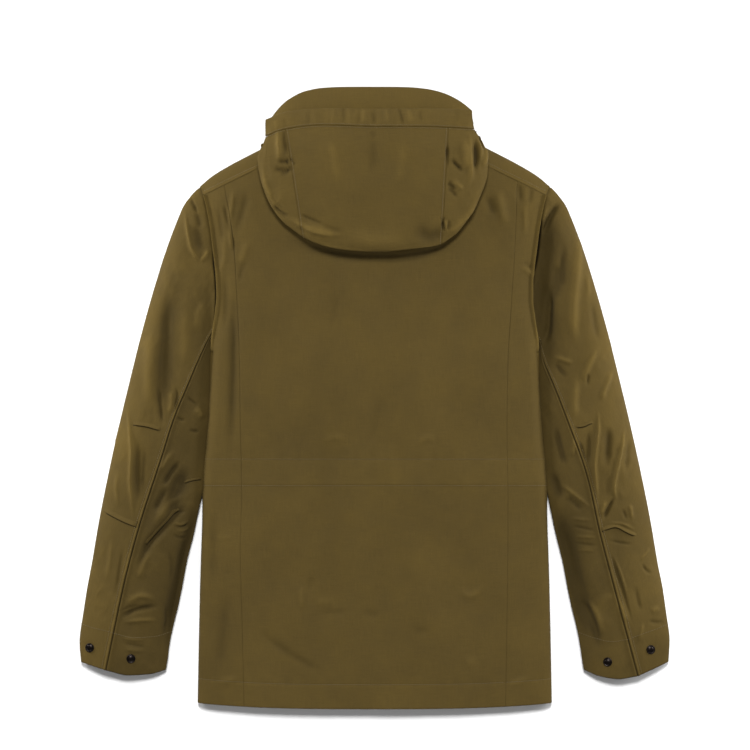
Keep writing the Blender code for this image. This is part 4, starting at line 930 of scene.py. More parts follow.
def hood_panel(x0, x1, place0, place1, count):
    """A panel of the hood's shell, from the casing over its rounded edge to a hem under that edge."""
    columns = []
    for t in np.linspace(0, 1, count):
        x = mix(x0 + SEAM, x1 - SEAM, t)
        place = mix(place0, place1, t)
        start, end = hood_column(x, place)
        if t in (0.0, 1.0):
            end = end + np.array([HOOD_SEAM if t == 0 else -HOOD_SEAM, 0.0])
        long = np.linalg.norm(end - start)
        near = min(0.7, HOOD_ROUND * 0.9 / long)
        column = []
        for f in (0.0, *(np.linspace(0, 1 - near, 5)[1:]), *(1 - fan(5)[3::-1] * near)):
            point = mix(start, end, f)
            if f == 0.0:
                point = point - np.array([0.0, ROUND_SEAM])
            column.append((*point, hood_z(*point)))
        inward = (start - end) / long
        for angle in (25, 50):
            turn = math.radians(angle)
            point = end + inward * HOOD_TUCK * (1 - math.cos(turn))
            column.append((*point, rest_z(*end) + HOOD_MID - 0.93 * HOOD_TUCK * math.sin(turn)))
        columns.append(column)
    return columns


def folded_layers():
    """The hood's hidden layers as one solid: rings across it, with a groove between two at the edge."""
    rings = []
    places = np.linspace(2.3, 19.1, 21)
    xs = [np.interp(p, (2.0, 8.1, 12.1, 20.0), (-140.0, -116.0, 96.0, 128.0)) for p in places]
    for x, place in zip(xs, places):
        start, end = hood_column(x, place)
        start = start - np.array([0.0, 4.0])
        inward = (start - end) / np.linalg.norm(start - end)
        base = rest_z(*end) + HOOD_GAP
        mid = rest_z(*end) + HOOD_MID
        long = np.linalg.norm(end - start)
        ring = []
        for f in (0.0, 0.3, 0.6, 0.85):
            point = mix(start, end + inward * min(16.0, long * 0.5), f / 0.85)
            ring.append((*point, hood_z(*point) - LAYERS_DEEP * (1.6 if f == 0.85 else 1.0)))
        for inset, z in (
            (10.5, mid + 3.0),
            (5.8, mid - 0.5),
            (6.6, mid - 3.0),
            (9.0, mid - 5.0),
            (3.6, base + 2.2),
            (4.6, base + 0.8),
            (9.0, base),
        ):
            point = end + inward * inset
            ring.append((*point, min(z, hood_z(*point) - 1.6 * LAYERS_DEEP)))
        for f in (0.25, 0.6, 1.0):
            point = mix(end + inward * 9.0, start, f)
            ring.append((*point, rest_z(*point) + HOOD_GAP))
        rings.append(ring)
    return rings


def casing():
    """The casing round the hood's mouth: a strip folded at its free edge, gathered by the cord inside it."""
    columns = []
    count = 43
    for i in range(count):
        t = i / (count - 1)
        x = mix(HOOD_MOUTH[0][0] - 1.0, HOOD_MOUTH[-1][0], t)
        lean = CASING_LEAN * t**6
        seam, free = mouth_point(x), mouth_point(x, 1.0)
        middle = math.exp(-(((x + 15.0) / 85.0) ** 2))
        wave = 0.9 * middle * math.sin(i * 1.9 + math.sin(i * 0.7))
        top = hood_z(x, seam[1] - SEAM)
        low = rest_z(x, free[1]) + 6.0
        column = [(x, seam[1] + ROUND_SEAM, top)]
        for f in (0.3, 0.6):
            z = mix(top, low + 4.5, f**1.5) + wave
            column.append((x - f * lean, mix(seam[1], free[1] - CASING_R, f), z))
        for angle in (60, 15, -30, -75):
            turn = math.radians(angle)
            up = free[1] - CASING_R * (1 - math.cos(turn))
            column.append((x - lean, up, low + CASING_R * math.sin(turn) + 0.4 * wave))
        for f in (0.35, 0.75):
            point = mix(free[1] - CASING_R, seam[1] + 2.5, f)
            column.append((x - (1 - f) * lean, point, low - CASING_R + 0.5 * f))
        columns.append(column)
    return columns


# Fine grids ---------------------------------------------------------------------------------------


def monotone(t, values, new):
    """Reads lines of points at new places, smoothly and with no overshoot: the first axis runs along them."""
    step = np.diff(t)[:, None, None]
    slope = np.diff(values, axis=0) / step
    before, after = slope[:-1], slope[1:]
    same = before * after > 0
    w1, w2 = 2 * step[1:] + step[:-1], step[1:] + 2 * step[:-1]
    with np.errstate(divide="ignore", invalid="ignore"):
        inner = np.where(same, (w1 + w2) / (w1 / before + w2 / after), 0.0)
    tangent = np.concatenate([slope[:1], inner, slope[-1:]])
    i = np.clip(np.searchsorted(t, new, side="right") - 1, 0, len(t) - 2)
    h = step[i]
    u = ((new - t[i]) / (t[i + 1] - t[i]))[:, None, None]
    start = (1 + 2 * u) * (1 - u) ** 2 * values[i] + u * (1 - u) ** 2 * h * tangent[i]
    return start + u * u * (3 - 2 * u) * values[i + 1] + u * u * (u - 1) * h * tangent[i + 1]


def finer(points, axis, marks=(), edges=(True, True), step=STEP):
    """More lines along one axis: close beside seams and marked lines, wide where they lie underneath."""
    points = np.moveaxis(points, axis, 0)
    lengths = np.linalg.norm(np.diff(points, axis=0), axis=2).mean(axis=1)
    t = np.concatenate([[0.0], np.cumsum(np.maximum(lengths, 0.02))])
    under = points[:, :, 2].mean(axis=1) < UNDER_LEVEL
    close = [mark + side * d for mark in marks for d in BESIDE for side in (-1, 1)]
    close += [d for d in BESIDE_EDGE if edges[0]] + [t[-1] - d for d in BESIDE_EDGE if edges[1]]
    close = [c for c in close if 0 < c < t[-1]]
    places = [0.0]
    for i, low in enumerate(t[:-1]):
        pitch = COARSE if under[i] and under[i + 1] else step
        count = max(1, math.ceil((t[i + 1] - low) / pitch))
        places += list(np.linspace(low, t[i + 1], count + 1)[1:])
    away = [p for p in places[1:-1] if all(abs(p - c) > CROWDED * step for c in close)]
    places = np.array(sorted({0.0, t[-1], *away, *close}))
    return np.moveaxis(monotone(t, points, places), 0, axis)


def lattice(seed):
    """Random directions on a lattice, for soft noise."""
    turn = np.random.default_rng(seed).uniform(0, 2 * math.pi, (NOISE_SIZE, NOISE_SIZE))
    return np.stack([np.cos(turn), np.sin(turn)], axis=-1)


def soft_noise(x, y, pitch_x, pitch_y, seed):
    """Gradient noise from about -1 to 1, whose bumps are about as large as the pitch."""
    grid = lattice(seed)
    x, y = x / pitch_x + 1000.5, y / pitch_y + 1000.5
    i, j = np.floor(x).astype(int), np.floor(y).astype(int)
    u, v = x - i, y - j
    fade_u, fade_v = (s * s * s * (s * (s * 6 - 15) + 10) for s in (u, v))

    def corner(di, dj):
        way = grid[(i + di) % NOISE_SIZE, (j + dj) % NOISE_SIZE]
        return way[..., 0] * (u - di) + way[..., 1] * (v - dj)

    low = mix(corner(0, 0), corner(1, 0), fade_u)
    high = mix(corner(0, 1), corner(1, 1), fade_u)
    return 1.5 * mix(low, high, fade_v)


def bell(distance, width):
    return np.exp(-((distance / width) ** 2))


def ease(low, high, value):
    """A smooth step from 0 to 1."""
    share = np.clip((value - low) / (high - low), 0.0, 1.0)
    return share * share * (3 - 2 * share)


def points_of(places):
    """Pairs from x, up, x, up and so on."""
    return tuple(zip(places[::2], places[1::2]))


def crease_relief(table, x, up):
    """Height that the creases of a table add, as soft troughs and ridges that fade out at both ends."""
    total = np.zeros_like(x)
    for rise, wide, *places in table:
        points = points_of(places)
        line = np.array([along(points, t) for t in np.linspace(0, len(points) - 1, 7 * (len(points) - 1))])
        low, high = line.min(axis=0) - 3 * wide, line.max(axis=0) + 3 * wide
        near = (x > low[0]) & (x < high[0]) & (up > low[1]) & (up < high[1])
        if not near.any():
            continue
        place = np.stack([x[near], up[near]], axis=-1)
        best = np.full(len(place), np.inf)
        share = np.zeros(len(place))
        for k, (a, b) in enumerate(zip(line[:-1], line[1:])):
            way = b - a
            t = np.clip((place - a) @ way / (way @ way), 0.0, 1.0)
            distance = np.linalg.norm(place - a - t[:, None] * way, axis=1)
            share = np.where(distance < best, (k + t) / (len(line) - 1), share)
            best = np.minimum(distance, best)
        ends = ease(0, CREASE_END, share) * ease(0, CREASE_END, 1 - share)
        total[near] += rise * ends * bell(best, wide)
    return total


def cloth_waves(x, up, kind, seed):
    """Soft unevenness of cloth that lies: broad, middling and small."""
    parts = (share * soft_noise(x, up, wide, long, seed + n) for n, (share, wide, long) in enumerate(WAVES))
    return WAVE_HIGH[kind] * sum(parts)


def crumple(x, up, kind, seed):
    """Patches of small sharp wrinkles, coarse ones and fine ones."""
    patches = 0.15 + 0.85 * ease(-0.1, 0.5, soft_noise(x, up, *WRINKLE_PATCH, seed + len(WRINKLES)))
    total = 0.0
    for n, (slant, wide, long, share) in enumerate(WRINKLES):
        sharp = 1 - WRINKLE_SHARP * np.abs(soft_noise(x + slant * up, up, wide, long, seed + n))
        total = total + share * np.maximum(sharp, WRINKLE_LOW)
    return CRUMPLE_HIGH[kind] * patches * total


def pucker(distance, place, amount, reach, seed):
    """Small puckers beside a seam: at a distance from it, and at a place along it."""
    return amount * soft_noise(place, distance * 0.4, 8, 12, seed) * bell(distance - 0.5 * reach, reach)


# The styles of a seam: each gives the height at a distance from the seam and a place along it.


def seam_style(kind, beside=None):
    """A groove in the seam, puckers, and what rises beside it."""
    depth, wide, amount, reach = SEAM_FORMS[kind]

    def style(distance, place, up, seed):
        rise = beside(distance, up) if beside else 0.0
        return rise - depth * bell(distance, wide) + pucker(distance, place, amount, reach, seed)

    return style


def ridge(distance, up):
    """The allowances of a sleeve's seam lie to both sides and stand up in a narrow ridge on each."""
    return RIDGE_RISE * bell(distance - RIDGE_IN, 1.2)


def stitched_layers(distance, up):
    """The allowances lie under this side, with a row of stitches that presses them down."""
    layers = SEAM_RISE * ease(0.2, 1.3, distance) * ease(0, 1.8, STITCH_IN + 1.4 - distance)
    return layers - 0.35 * bell(distance - STITCH_IN, 0.8)


def narrow_layers(distance, up):
    """The same with narrower allowances, sewn close to the edge."""
    return 0.6 * SEAM_RISE * ease(0.2, 1.0, distance) * ease(0, 1.2, EDGE_STITCH_IN + 1.2 - distance)


def roll(distance, up):
    """The body's side of the armhole rolls up in a narrow ridge above the sleeve, lower below the arm."""
    rise = mix(ROLL_LOW, ROLL_RISE, ease(UNDERARM - 60, UNDERARM + 30, up))
    return rise * ease(ROLL_START, ROLL_START + 50, up) * bell(distance - 1.5, 1.4)


open_edge = seam_style("open")
faint_seam = seam_style("faint")
ridged_seam = seam_style("ridged", ridge)
topstitched_seam = seam_style("topstitched", stitched_layers)
edge_stitched_seam = seam_style("edge-stitched", narrow_layers)
rolled_armhole = seam_style("rolled", roll)


def armhole_depth(side, up):
    """How much deeper the armhole's valley is along its deepest stretch."""
    low, high, deep = ARMHOLE_DEEP[side]
    return deep * ease(low - 10, low + 15, up) * ease(low - 10, low + 15, low + high - up)


def under_armhole(side):
    """The sleeve's side of the armhole, drawn in below the body's, and deepest along one stretch."""

    def style(distance, place, up, seed):
        depth = VALLEY_DEEP + armhole_depth(side, up)
        return pucker(distance, place, 0.3, 7.0, seed) - depth * bell(distance, VALLEY_WIDE)

    return style


# The relief of each kind of piece.


def stitched_row(x, off, amount, reach, seed):
    """Height beside a stitched row across a panel: its groove and the puckers that it draws in."""
    return amount * soft_noise(x, off * 0.25, 11, 9, seed) * bell(off, reach) - ROW_DEEP * bell(off, 1.0)


def waist_relief(x, up):
    """The casing inside the waist: two stitched rows, the fuller band between, and soft gathers."""
    low, high = WAIST_ROWS
    middle, wide = WAIST_GATHERS
    gathered = 0.35 + 0.65 * bell(x - middle, wide)
    rows = stitched_row(x, up - low, *WAIST_PUCKERS, 21)
    rows = rows + 0.7 * stitched_row(x, up - high, *WAIST_PUCKERS, 22)
    band = ease(0, 3, up - low) * ease(0, 3, high - up)
    gathers = 0.55 * soft_noise(x, up, 14, 60, 23) * ease(-22, 0, up - low) * ease(-26, 0, high - up)
    return rows * (0.5 + gathered / 2) + WAIST_BAND * band + gathers * gathered


def body_relief(x, up):
    """The body's creases and waves, its waist, and the fuller hem below its row."""
    above_hem = up - hem_up(x) - HEM_DEEP
    hem = stitched_row(x, above_hem, *HEM_PUCKERS, 31) + HEM_BAND * ease(0, 3, -above_hem)
    creases = CREASE_DEEP["body"] * crease_relief(BODY_CREASES, x, up)
    return creases + cloth_waves(x, up, "body", 3) + waist_relief(x, up) + hem


def sleeve_relief(side):
    """A sleeve's creases, waves and small wrinkles."""
    seed = SLEEVE_SEEDS[side]

    def relief(x, up):
        creases = CREASE_DEEP["sleeve"] * crease_relief(SLEEVE_CREASES[side], x, up)
        return creases + cloth_waves(x, up, "sleeve", seed) + crumple(x, up, "sleeve", seed + 5)

    return relief


def hood_relief(x, up):
    """The hood's creases, with its small wrinkles mostly at its two sides."""
    beside = 0.15 + 0.85 * ease(70, 120, np.abs(x + 10))
    creases = CREASE_DEEP["hood"] * crease_relief(HOOD_CREASES, x, up)
    return creases + cloth_waves(x, up, "hood", 60) + crumple(x, up, "hood", 63) * beside


def collar_relief(x, up):
    return cloth_waves(x, up, "collar", 70)


def casing_relief(x, up):
    """The cord's channel: gathered in the middle, with a few upright folds toward the right."""
    middle, wide = CASING_GATHERS
    gathers = 0.8 * soft_noise(x, up, 7, 40, 71) * (0.25 + bell(x - middle, wide))
    creases = CREASE_DEEP["casing"] * crease_relief(CASING_CREASES, x, up)
    return creases + gathers + cloth_waves(x, up, "casing", 72)


# A cloth piece.


def outward_of(points, turned):
    """Normals of a grid, turned to its outer side."""
    normal = np.cross(np.gradient(points, axis=1), np.gradient(points, axis=0)) * turned
    return normal / np.maximum(np.linalg.norm(normal, axis=2, keepdims=True), 1e-9)


def run_of(points, axis):
    """Distance along the grid from its first line."""
    step = np.linalg.norm(np.diff(points, axis=axis), axis=2)
    start = np.zeros_like(points[:1, :, 0] if axis == 0 else points[:, :1, 0])
    return np.concatenate([start, np.cumsum(step, axis=axis)], axis=axis)


def quads_of(index):
    """The faces between neighbours of a grid of point numbers."""
    corners = index[:-1, :-1], index[:-1, 1:], index[1:, 1:], index[1:, :-1]
    return np.stack(corners, axis=-1).reshape(-1, 4)


def around(grid):
    """The border of a grid, once round."""
    return np.concatenate([grid[0, :-1], grid[:-1, -1], grid[-1, :0:-1], grid[:0:-1, 0]])


class Cloth:
    """A cloth piece on its fine grid: sections, points, 3."""

    def __init__(self, name, rows, turned, relief, seams, marks=(), seed=0, step=STEP, lips=(), valley=None):
        self.name, self.turned, self.lips = name, turned, lips
        grid = finer(np.array(rows, float), 0, marks, step=step)
        grid = finer(grid, 1, step=step)
        across, down = run_of(grid, 1), run_of(grid, 0)
        self.distance = {
            "first": across,
            "last": across[:, -1:] - across,
            "start": down,
            "end": down[-1:] - down,
        }
        # The relief fades where the cloth turns over an edge, and that of the seams only underneath.
        normal = outward_of(grid, turned)
        self.height = relief(grid[..., 0], grid[..., 1]) * ease(0.05, 0.6, normal[..., 2])
        upward = ease(-0.6, 0.2, normal[..., 2])
        for n, (edge, style) in enumerate(seams.items()):
            place = down if edge in ("first", "last") else across
            self.height += style(self.distance[edge], place, grid[..., 1], seed + n) * upward
        self.points = grid + normal * self.height[..., None]
        self.points[..., 2] = np.maximum(self.points[..., 2], 0.0)
        self.normal = outward_of(self.points, turned)
        self.uv = np.stack([across, down], axis=-1) * MM
        # How near each point is to an edge: the cloth is darkened there as painted shade.
        self.near = np.minimum.reduce(list(self.distance.values()))
        # Where the armhole's valley is deepest, that painted shade reaches further from the seam.
        if valley:
            deepest = armhole_depth(valley, grid[..., 1]) / ARMHOLE_DEEP[valley][2]
            self.near = self.near - VALLEY_WIDE * deepest * (self.distance["start"] < 2 * VALLEY_WIDE)

    def build(self, looks):
        """The shell as a mesh: the outer side, the inner side, a rounded rim, and its lapped folds."""
        inner = self.points - self.normal * CLOTH
        inner[..., 2] = np.maximum(inner[..., 2], INNER_LOW)
        index = np.arange(inner[..., 0].size).reshape(inner.shape[:2])
        loop = around(index)
        outer, inner = self.points.reshape(-1, 3), inner.reshape(-1, 3)
        inward = np.concatenate([
            self.points[1, :-1] - self.points[0, :-1],
            self.points[:-1, -2] - self.points[:-1, -1],
            self.points[-2, :0:-1] - self.points[-1, :0:-1],
            self.points[:0:-1, 1] - self.points[:0:-1, 0],
        ])
        inward /= np.maximum(np.linalg.norm(inward, axis=1, keepdims=True), 1e-9)
        rim = (outer[loop] + inner[loop]) / 2 - inward * CLOTH * RIM_OUT
        rim[:, 2] = np.maximum(rim[:, 2], RIM_LOW)
        size = len(outer)
        rim_at = 2 * size + np.arange(len(loop))
        rim_next, loop_next = np.roll(rim_at, -1), np.roll(loop, -1)
        upper = np.stack([loop, rim_at, rim_next, loop_next], axis=-1)
        lower = np.stack([rim_at, loop + size, loop_next + size, rim_next], axis=-1)
        quads, edge = quads_of(index), np.concatenate([upper, lower])
        if self.turned < 0:
            quads, edge = quads[:, ::-1], edge[:, ::-1]
        points = [outer, inner, rim]
        faces = [quads, quads[:, ::-1] + size, edge]
        values = []
        for value in (self.height[..., None], self.near[..., None], self.uv):
            flat = value.reshape(size, -1)
            values.append([flat, flat, flat[loop]])
        relief, near, uv = values
        count = 2 * size + len(loop)
        for row in self.lips:
            lip = self.lip(*row)
            if lip:
                lip_points, lip_faces, lip_near, lip_uv = lip
                points.append(lip_points)
                faces.append(lip_faces + count)
                relief.append(np.zeros((len(lip_points), 1)))
                near.append(lip_near[:, None])
                uv.append(lip_uv)
                count += len(lip_points)
        faces = np.concatenate(faces)
        made = mesh_of(self.name + "_shell", np.concatenate(points), faces, looks)
        for name, value in (("relief", relief), ("near_edge", near)):
            layer = made.data.attributes.new(name, "FLOAT", "POINT")
            layer.data.foreach_set("value", np.concatenate(value).astype(np.float32).reshape(-1))
        layer = made.data.uv_layers.new(name="cloth")
        layer.data.foreach_set("uv", np.concatenate(uv)[faces.reshape(-1)].astype(np.float32).reshape(-1))
        return made

    def cloth_at(self, spots):
        """Height and place on the cloth's own grid at some (x, up), and how far the nearest point is."""
        flat = self.points.reshape(-1, 3)
        seen = self.normal[..., 2].reshape(-1) > FACING_UP
        flat, uv = flat[seen], self.uv.reshape(-1, 2)[seen]
        found = []
        for spot in spots:
            away = ((flat[:, :2] - spot) ** 2).sum(axis=1)
            nearest = np.argpartition(away, 5)[:5]
            weight = 1 / (away[nearest] + 0.05)
            weight /= weight.sum()
            found.append((weight @ flat[nearest, 2], *(weight @ uv[nearest]), away[nearest].min()))
        return np.array(found).T

    def lip(self, height, back, *places):
        """A fold whose edge laps over the cloth below it: it rises slowly and drops off steeply, over a strip
        of painted shadow.
        """
        points = points_of(places)
        count = 3 * (len(points) - 1) + 1
        line = np.array([along(points, t) for t in np.linspace(0, len(points) - 1, count)])
        way = np.gradient(line, axis=0)
        way /= np.linalg.norm(way, axis=1, keepdims=True)
        aside = np.stack([-way[:, 1], way[:, 0]], axis=-1)
        ends = np.minimum(1.0, LIP_ENDS * np.sin(np.linspace(0.02, math.pi - 0.02, count)) ** 1.3)[:, None]
        off = np.array([*LIP_FOOT, *LIP_EDGE, *(back * f for f in LIP_BACK)])
        raised = np.array([*LIP_RAISED, *[0.0] * (len(off) - len(LIP_RAISED))])
        spots = line[:, None] + aside[:, None] * off[None, :, None]
        z, u, v, away = self.cloth_at(spots.reshape(-1, 2))
        if away.max() > LIP_OFF:
            return None
        z = z.reshape(count, -1)
        top = z + height * ends * LIP_LIFT + raised * ends - LIP_SINK
        upper, lower = np.dstack([spots, top]), np.dstack([spots, z - 2 * LIP_SINK])
        made = np.concatenate([upper, lower[:, ::-1]], axis=1)
        uv = np.stack([u, v], axis=-1).reshape(count, -1, 2)
        uv = np.concatenate([uv, uv[:, ::-1]], axis=1)
        m = made.shape[1]
        index = np.arange(count * m).reshape(count, m)
        after = np.roll(index, -1, axis=1)
        sides = np.stack([index[:-1], index[1:], after[1:], after[:-1]], axis=-1).reshape(-1, 4)
        cap = np.array([(k, k + 1, m - 2 - k, m - 1 - k) for k in range(m // 2 - 1)])
        faces = np.concatenate([sides, cap, cap[:, ::-1] + (count - 1) * m])
        # Its foot and edge take the seam's tone: a strip of painted shadow under the fold.
        near = np.tile([*LIP_PAINTED_SHADOW, *[FAR] * (m - 2 * len(LIP_PAINTED_SHADOW)), *LIP_PAINTED_SHADOW[::-1]], count)
        return made.reshape(-1, 3), faces, near, uv.reshape(-1, 2)

    def edge_line(self, edge, inset):
        """Points and normals of the line that runs along an edge at a distance from it."""
        return self.line_where(self.distance[edge], inset, edge in ("first", "last"), edge in ("end", "last"))

    def line_where(self, value, wanted, sideways=False, falling=False):
        """The same where a value that rises or falls along the grid, or across it, is the wanted one."""
        points, normal = self.points, self.normal
        if not sideways:
            value, points, normal = value.T, points.transpose(1, 0, 2), normal.transpose(1, 0, 2)
        if falling:
            value, points, normal = value[:, ::-1], points[:, ::-1], normal[:, ::-1]
        found = []
        for v, p, n in zip(value, points, normal):
            if v[0] < wanted < v[-1]:
                k = int(np.searchsorted(v, wanted)) - 1
                t = (wanted - v[k]) / max(v[k + 1] - v[k], 1e-9)
                found.append(np.concatenate([mix(p[k], p[k + 1], t), mix(n[k], n[k + 1], t)]))
        return np.array(found)


def mesh_of(name, points, faces, looks):
    """A smooth mesh object from points in millimetres, placed as the solids are."""
    mesh = bpy.data.meshes.new(name)
    placed = (np.asarray(points) - (0.0, HEM_TO_MIDDLE, 0.0)) * MM
    if isinstance(faces, np.ndarray):
        mesh.vertices.add(len(placed))
        mesh.vertices.foreach_set("co", placed.astype(np.float32).reshape(-1))
        mesh.loops.add(faces.size)
        mesh.loops.foreach_set("vertex_index", faces.astype(np.int32).reshape(-1))
        mesh.polygons.add(len(faces))
        mesh.polygons.foreach_set("loop_start", np.arange(0, faces.size, 4, dtype=np.int32))
        mesh.update(calc_edges=True)
    else:
        mesh.from_pydata(placed.tolist(), [], faces)
    mesh.shade_smooth()
    mesh.materials.append(looks)
    made = bpy.data.objects.new(name, mesh)
    bpy.context.scene.collection.objects.link(made)
    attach(made, "root")
    return made


# Materials ----------------------------------------------------------------------------------------


class Nodes:
    """A material with short ways to add shader nodes."""

    def __init__(self, name, settings):
        self.material = bpy.data.materials.new(name)
        self.material.use_nodes = True
        self.tree = self.material.node_tree
        self.shader = self.tree.nodes["Principled BSDF"]
        for key, value in settings.items():
            self.shader.inputs[key].default_value = value

    def add(self, kind, **settings):
        node = self.tree.nodes.new(kind)
        for key, value in settings.items():
            if key in node.inputs:
                node.inputs[key].default_value = value
            else:
                setattr(node, key, value)
        return node

    def link(self, start, end):
        self.tree.links.new(start, end)

    def object_place(self):
        return self.add("ShaderNodeTexCoord").outputs["Object"]

    def attribute(self, name):
        return self.add("ShaderNodeAttribute", attribute_name=name).outputs["Fac"]

    def math(self, operation, a, b):
        node = self.add("ShaderNodeMath", operation=operation)
        for slot, value in zip(node.inputs, (a, b)):
            if isinstance(value, (int, float)):
                slot.default_value = value
            else:
                self.link(value, slot)
        return node.outputs[0]

    def spread(self, value, low, high, new_low, new_high):
        """A value's range from low to high spread over another, and held at its ends."""
        node = self.add("ShaderNodeMapRange")
        self.link(value, node.inputs["Value"])
        for key, number in zip(("From Min", "From Max", "To Min", "To Max"), (low, high, new_low, new_high)):
            node.inputs[key].default_value = number
        return node.outputs["Result"]

    def noise(self, vector, scale, detail, rough=0.5):
        node = self.add("ShaderNodeTexNoise", Scale=scale, Detail=detail, Roughness=rough)
        self.link(vector, node.inputs["Vector"])
        return node.outputs["Fac"]

    def threads(self, vector, way):
        """Even waves across one way of the weave."""
        node = self.add("ShaderNodeTexWave", Scale=WEAVE_SCALE, Distortion=1.2, Detail=1.0)
        node.inputs["Detail Scale"].default_value = 1.5
        node.bands_direction = way
        self.link(vector, node.inputs["Vector"])
        return self.math("SUBTRACT", node.outputs["Fac"], 0.5)

    def slubs(self, vector, scale):
        """Long thin noise along the threads."""
        node = self.add("ShaderNodeMapping")
        node.inputs["Scale"].default_value = scale
        self.link(vector, node.inputs["Vector"])
        return self.noise(node.outputs["Vector"], 1.0, 1.0)

    def colour(self, kind, low, high, share):
        """The base colour, mixed from two colours (or a colour and a value) by a share."""
        node = self.add("ShaderNodeMix", data_type="RGBA", blend_type=kind)
        for key, value in (("A", low), ("B", high), ("Factor", share)):
            if isinstance(value, bpy.types.NodeSocket):
                self.link(value, node.inputs[key])
            else:
                node.inputs[key].default_value = value
        self.link(node.outputs["Result"], self.shader.inputs["Base Color"])

    def bump(self, height, strength, distance, below=None):
        """A bump from a value, laid over another bump. The last one is the shader's."""
        node = self.add("ShaderNodeBump", Strength=strength, Distance=distance)
        self.link(height, node.inputs["Height"])
        if below:
            self.link(below, node.inputs["Normal"])
        self.link(node.outputs["Normal"], self.shader.inputs["Normal"])
        return node.outputs["Normal"]


def toned(colour, tone=1.0):
    """A colour times a tone, as Blender takes it."""
    return (*[c * tone for c in colour], 1.0)


def cloth_look(name, seam_shade=0.6):
    """Washed plain-weave cotton: threads both ways, slubs and a soft mottle, with painted shade in seams,
    troughs and under lapped folds, painted highlight on ridges, and whole pieces painted lighter and darker.
    """
    n = Nodes(name + "_cloth", CLOTH_SHADER)
    uv = n.add("ShaderNodeUVMap", uv_map="cloth").outputs["UV"]
    place = n.object_place()
    over = n.math("MULTIPLY", n.threads(uv, "X"), n.threads(uv, "Y"))
    weave = n.math("ADD", n.math("MULTIPLY", over, 2.0), 0.5)
    slub_warp = n.slubs(uv, (SLUB_ACROSS, SLUB_ALONG, 1.0))
    slub_weft = n.slubs(uv, (SLUB_ALONG, SLUB_ACROSS, 1.0))
    mottle = n.noise(place, MOTTLE_SCALE, 3.0, 0.6)
    tone = n.spread(weave, 0.0, 1.0, *SOFT_TONES)
    for part in (
        n.spread(slub_warp, *NOISE_RANGE, *SOFT_TONES),
        n.spread(slub_weft, *NOISE_RANGE, *SOFT_TONES),
        n.spread(n.noise(place, SPECKLE_SCALE, 1.0), *NOISE_RANGE, *SPECKLE_TONES),
        n.spread(mottle, *NOISE_RANGE, *SOFT_TONES),
        # Painted shade in troughs and painted highlight on ridges.
        n.spread(n.attribute("relief"), -RELIEF_HIGH, RELIEF_HIGH, *PAINTED_RELIEF_SHADING),
        # Painted shade near edges and seams, under lapped folds and in the armhole's valley.
        n.spread(n.attribute("near_edge"), 0.0, PAINTED_SEAM_SHADE_WIDE, seam_shade, 1.0),
    ):
        tone = n.math("MULTIPLY", tone, part)
    grey = n.add("ShaderNodeCombineColor")
    for channel in ("Red", "Green", "Blue"):
        n.link(tone, grey.inputs[channel])
    # Each piece's tone here is painted light and shade.
    n.colour("MULTIPLY", toned(CLOTH_COLOUR, PAINTED_PIECE_SHADING.get(name, 1.0)), grey.outputs["Color"], 1.0)
    n.link(n.spread(mottle, 0.3, 0.7, *CLOTH_ROUGH), n.shader.inputs["Roughness"])
    crumples = n.bump(n.noise(place, CRUMPLE_SCALE, 3.0, 0.55), *CRUMPLE_BUMP)
    n.bump(n.math("ADD", weave, n.math("ADD", slub_warp, slub_weft)), *WEAVE_BUMP, crumples)
    return n.material


def thread_look(name):
    """Twisted sewing thread, a little lighter than the cloth."""
    n = Nodes(name, {"Roughness": 0.6})
    twist = n.noise(n.object_place(), TWIST_SCALE, 1.0)
    n.colour("MIX", *(toned(CLOTH_COLOUR, tone) for tone in THREAD_TONES), twist)
    n.bump(twist, *TWIST_BUMP)
    return n.material


def metal_look(name, colour, rough):
    """Dark burnished metal, worn a little lighter in fine scratches."""
    n = Nodes(name, {"Metallic": 0.85})
    wear = n.noise(n.object_place(), WEAR_SCALE, 3.0, 0.7)
    n.colour("MIX", toned(colour), toned(colour, METAL_WORN), n.spread(wear, 0.45, 0.75, 0.0, 1.0))
    n.link(n.spread(wear, 0.3, 0.7, rough - 0.06, rough + 0.1), n.shader.inputs["Roughness"])
    n.bump(wear, *WEAR_BUMP)
    return n.material


# Sewing and metal ---------------------------------------------------------------------------------


def stitches(name, lines, looks):
    """Rows of single stitches as one mesh: each is a short thread that dips in at its two ends."""
    turn = np.arange(THREAD_SIDES) / THREAD_SIDES * 2 * math.pi
    points, faces = [], []
    for line in lines:
        spots = line[:, :3]
        run = np.concatenate([[0.0], np.cumsum(np.linalg.norm(np.diff(spots, axis=0), axis=1))])
        for start in np.arange(STITCH_START, run[-1] - STITCH_PITCH, STITCH_PITCH):
            at = [start + STITCH_PITCH * STITCH_LONG * (p[0] + 0.5) for p in STITCH_PROFILE]
            both = np.stack([np.interp(at, run, column) for column in line.T], axis=-1)
            centre, out = both[:, :3], both[:, 3:] / np.linalg.norm(both[:, 3:], axis=1, keepdims=True)
            if out[0, 2] < STITCH_TURN or centre[0, 2] < STITCH_LOW:
                continue
            aside = np.cross(centre[-1] - centre[0], out)
            aside /= np.linalg.norm(aside, axis=1, keepdims=True)
            base = len(points)
            for (_, lift, wide), c, o, s in zip(STITCH_PROFILE, centre, out, aside):
                middle = c + o * lift * THREAD_R
                for a in turn:
                    points.append(middle + THREAD_R * wide * (math.cos(a) * s + math.sin(a) * 0.8 * o))
            faces += tube_faces(len(STITCH_PROFILE), THREAD_SIDES, base)
    mesh_of(name, np.array(points), faces, looks)


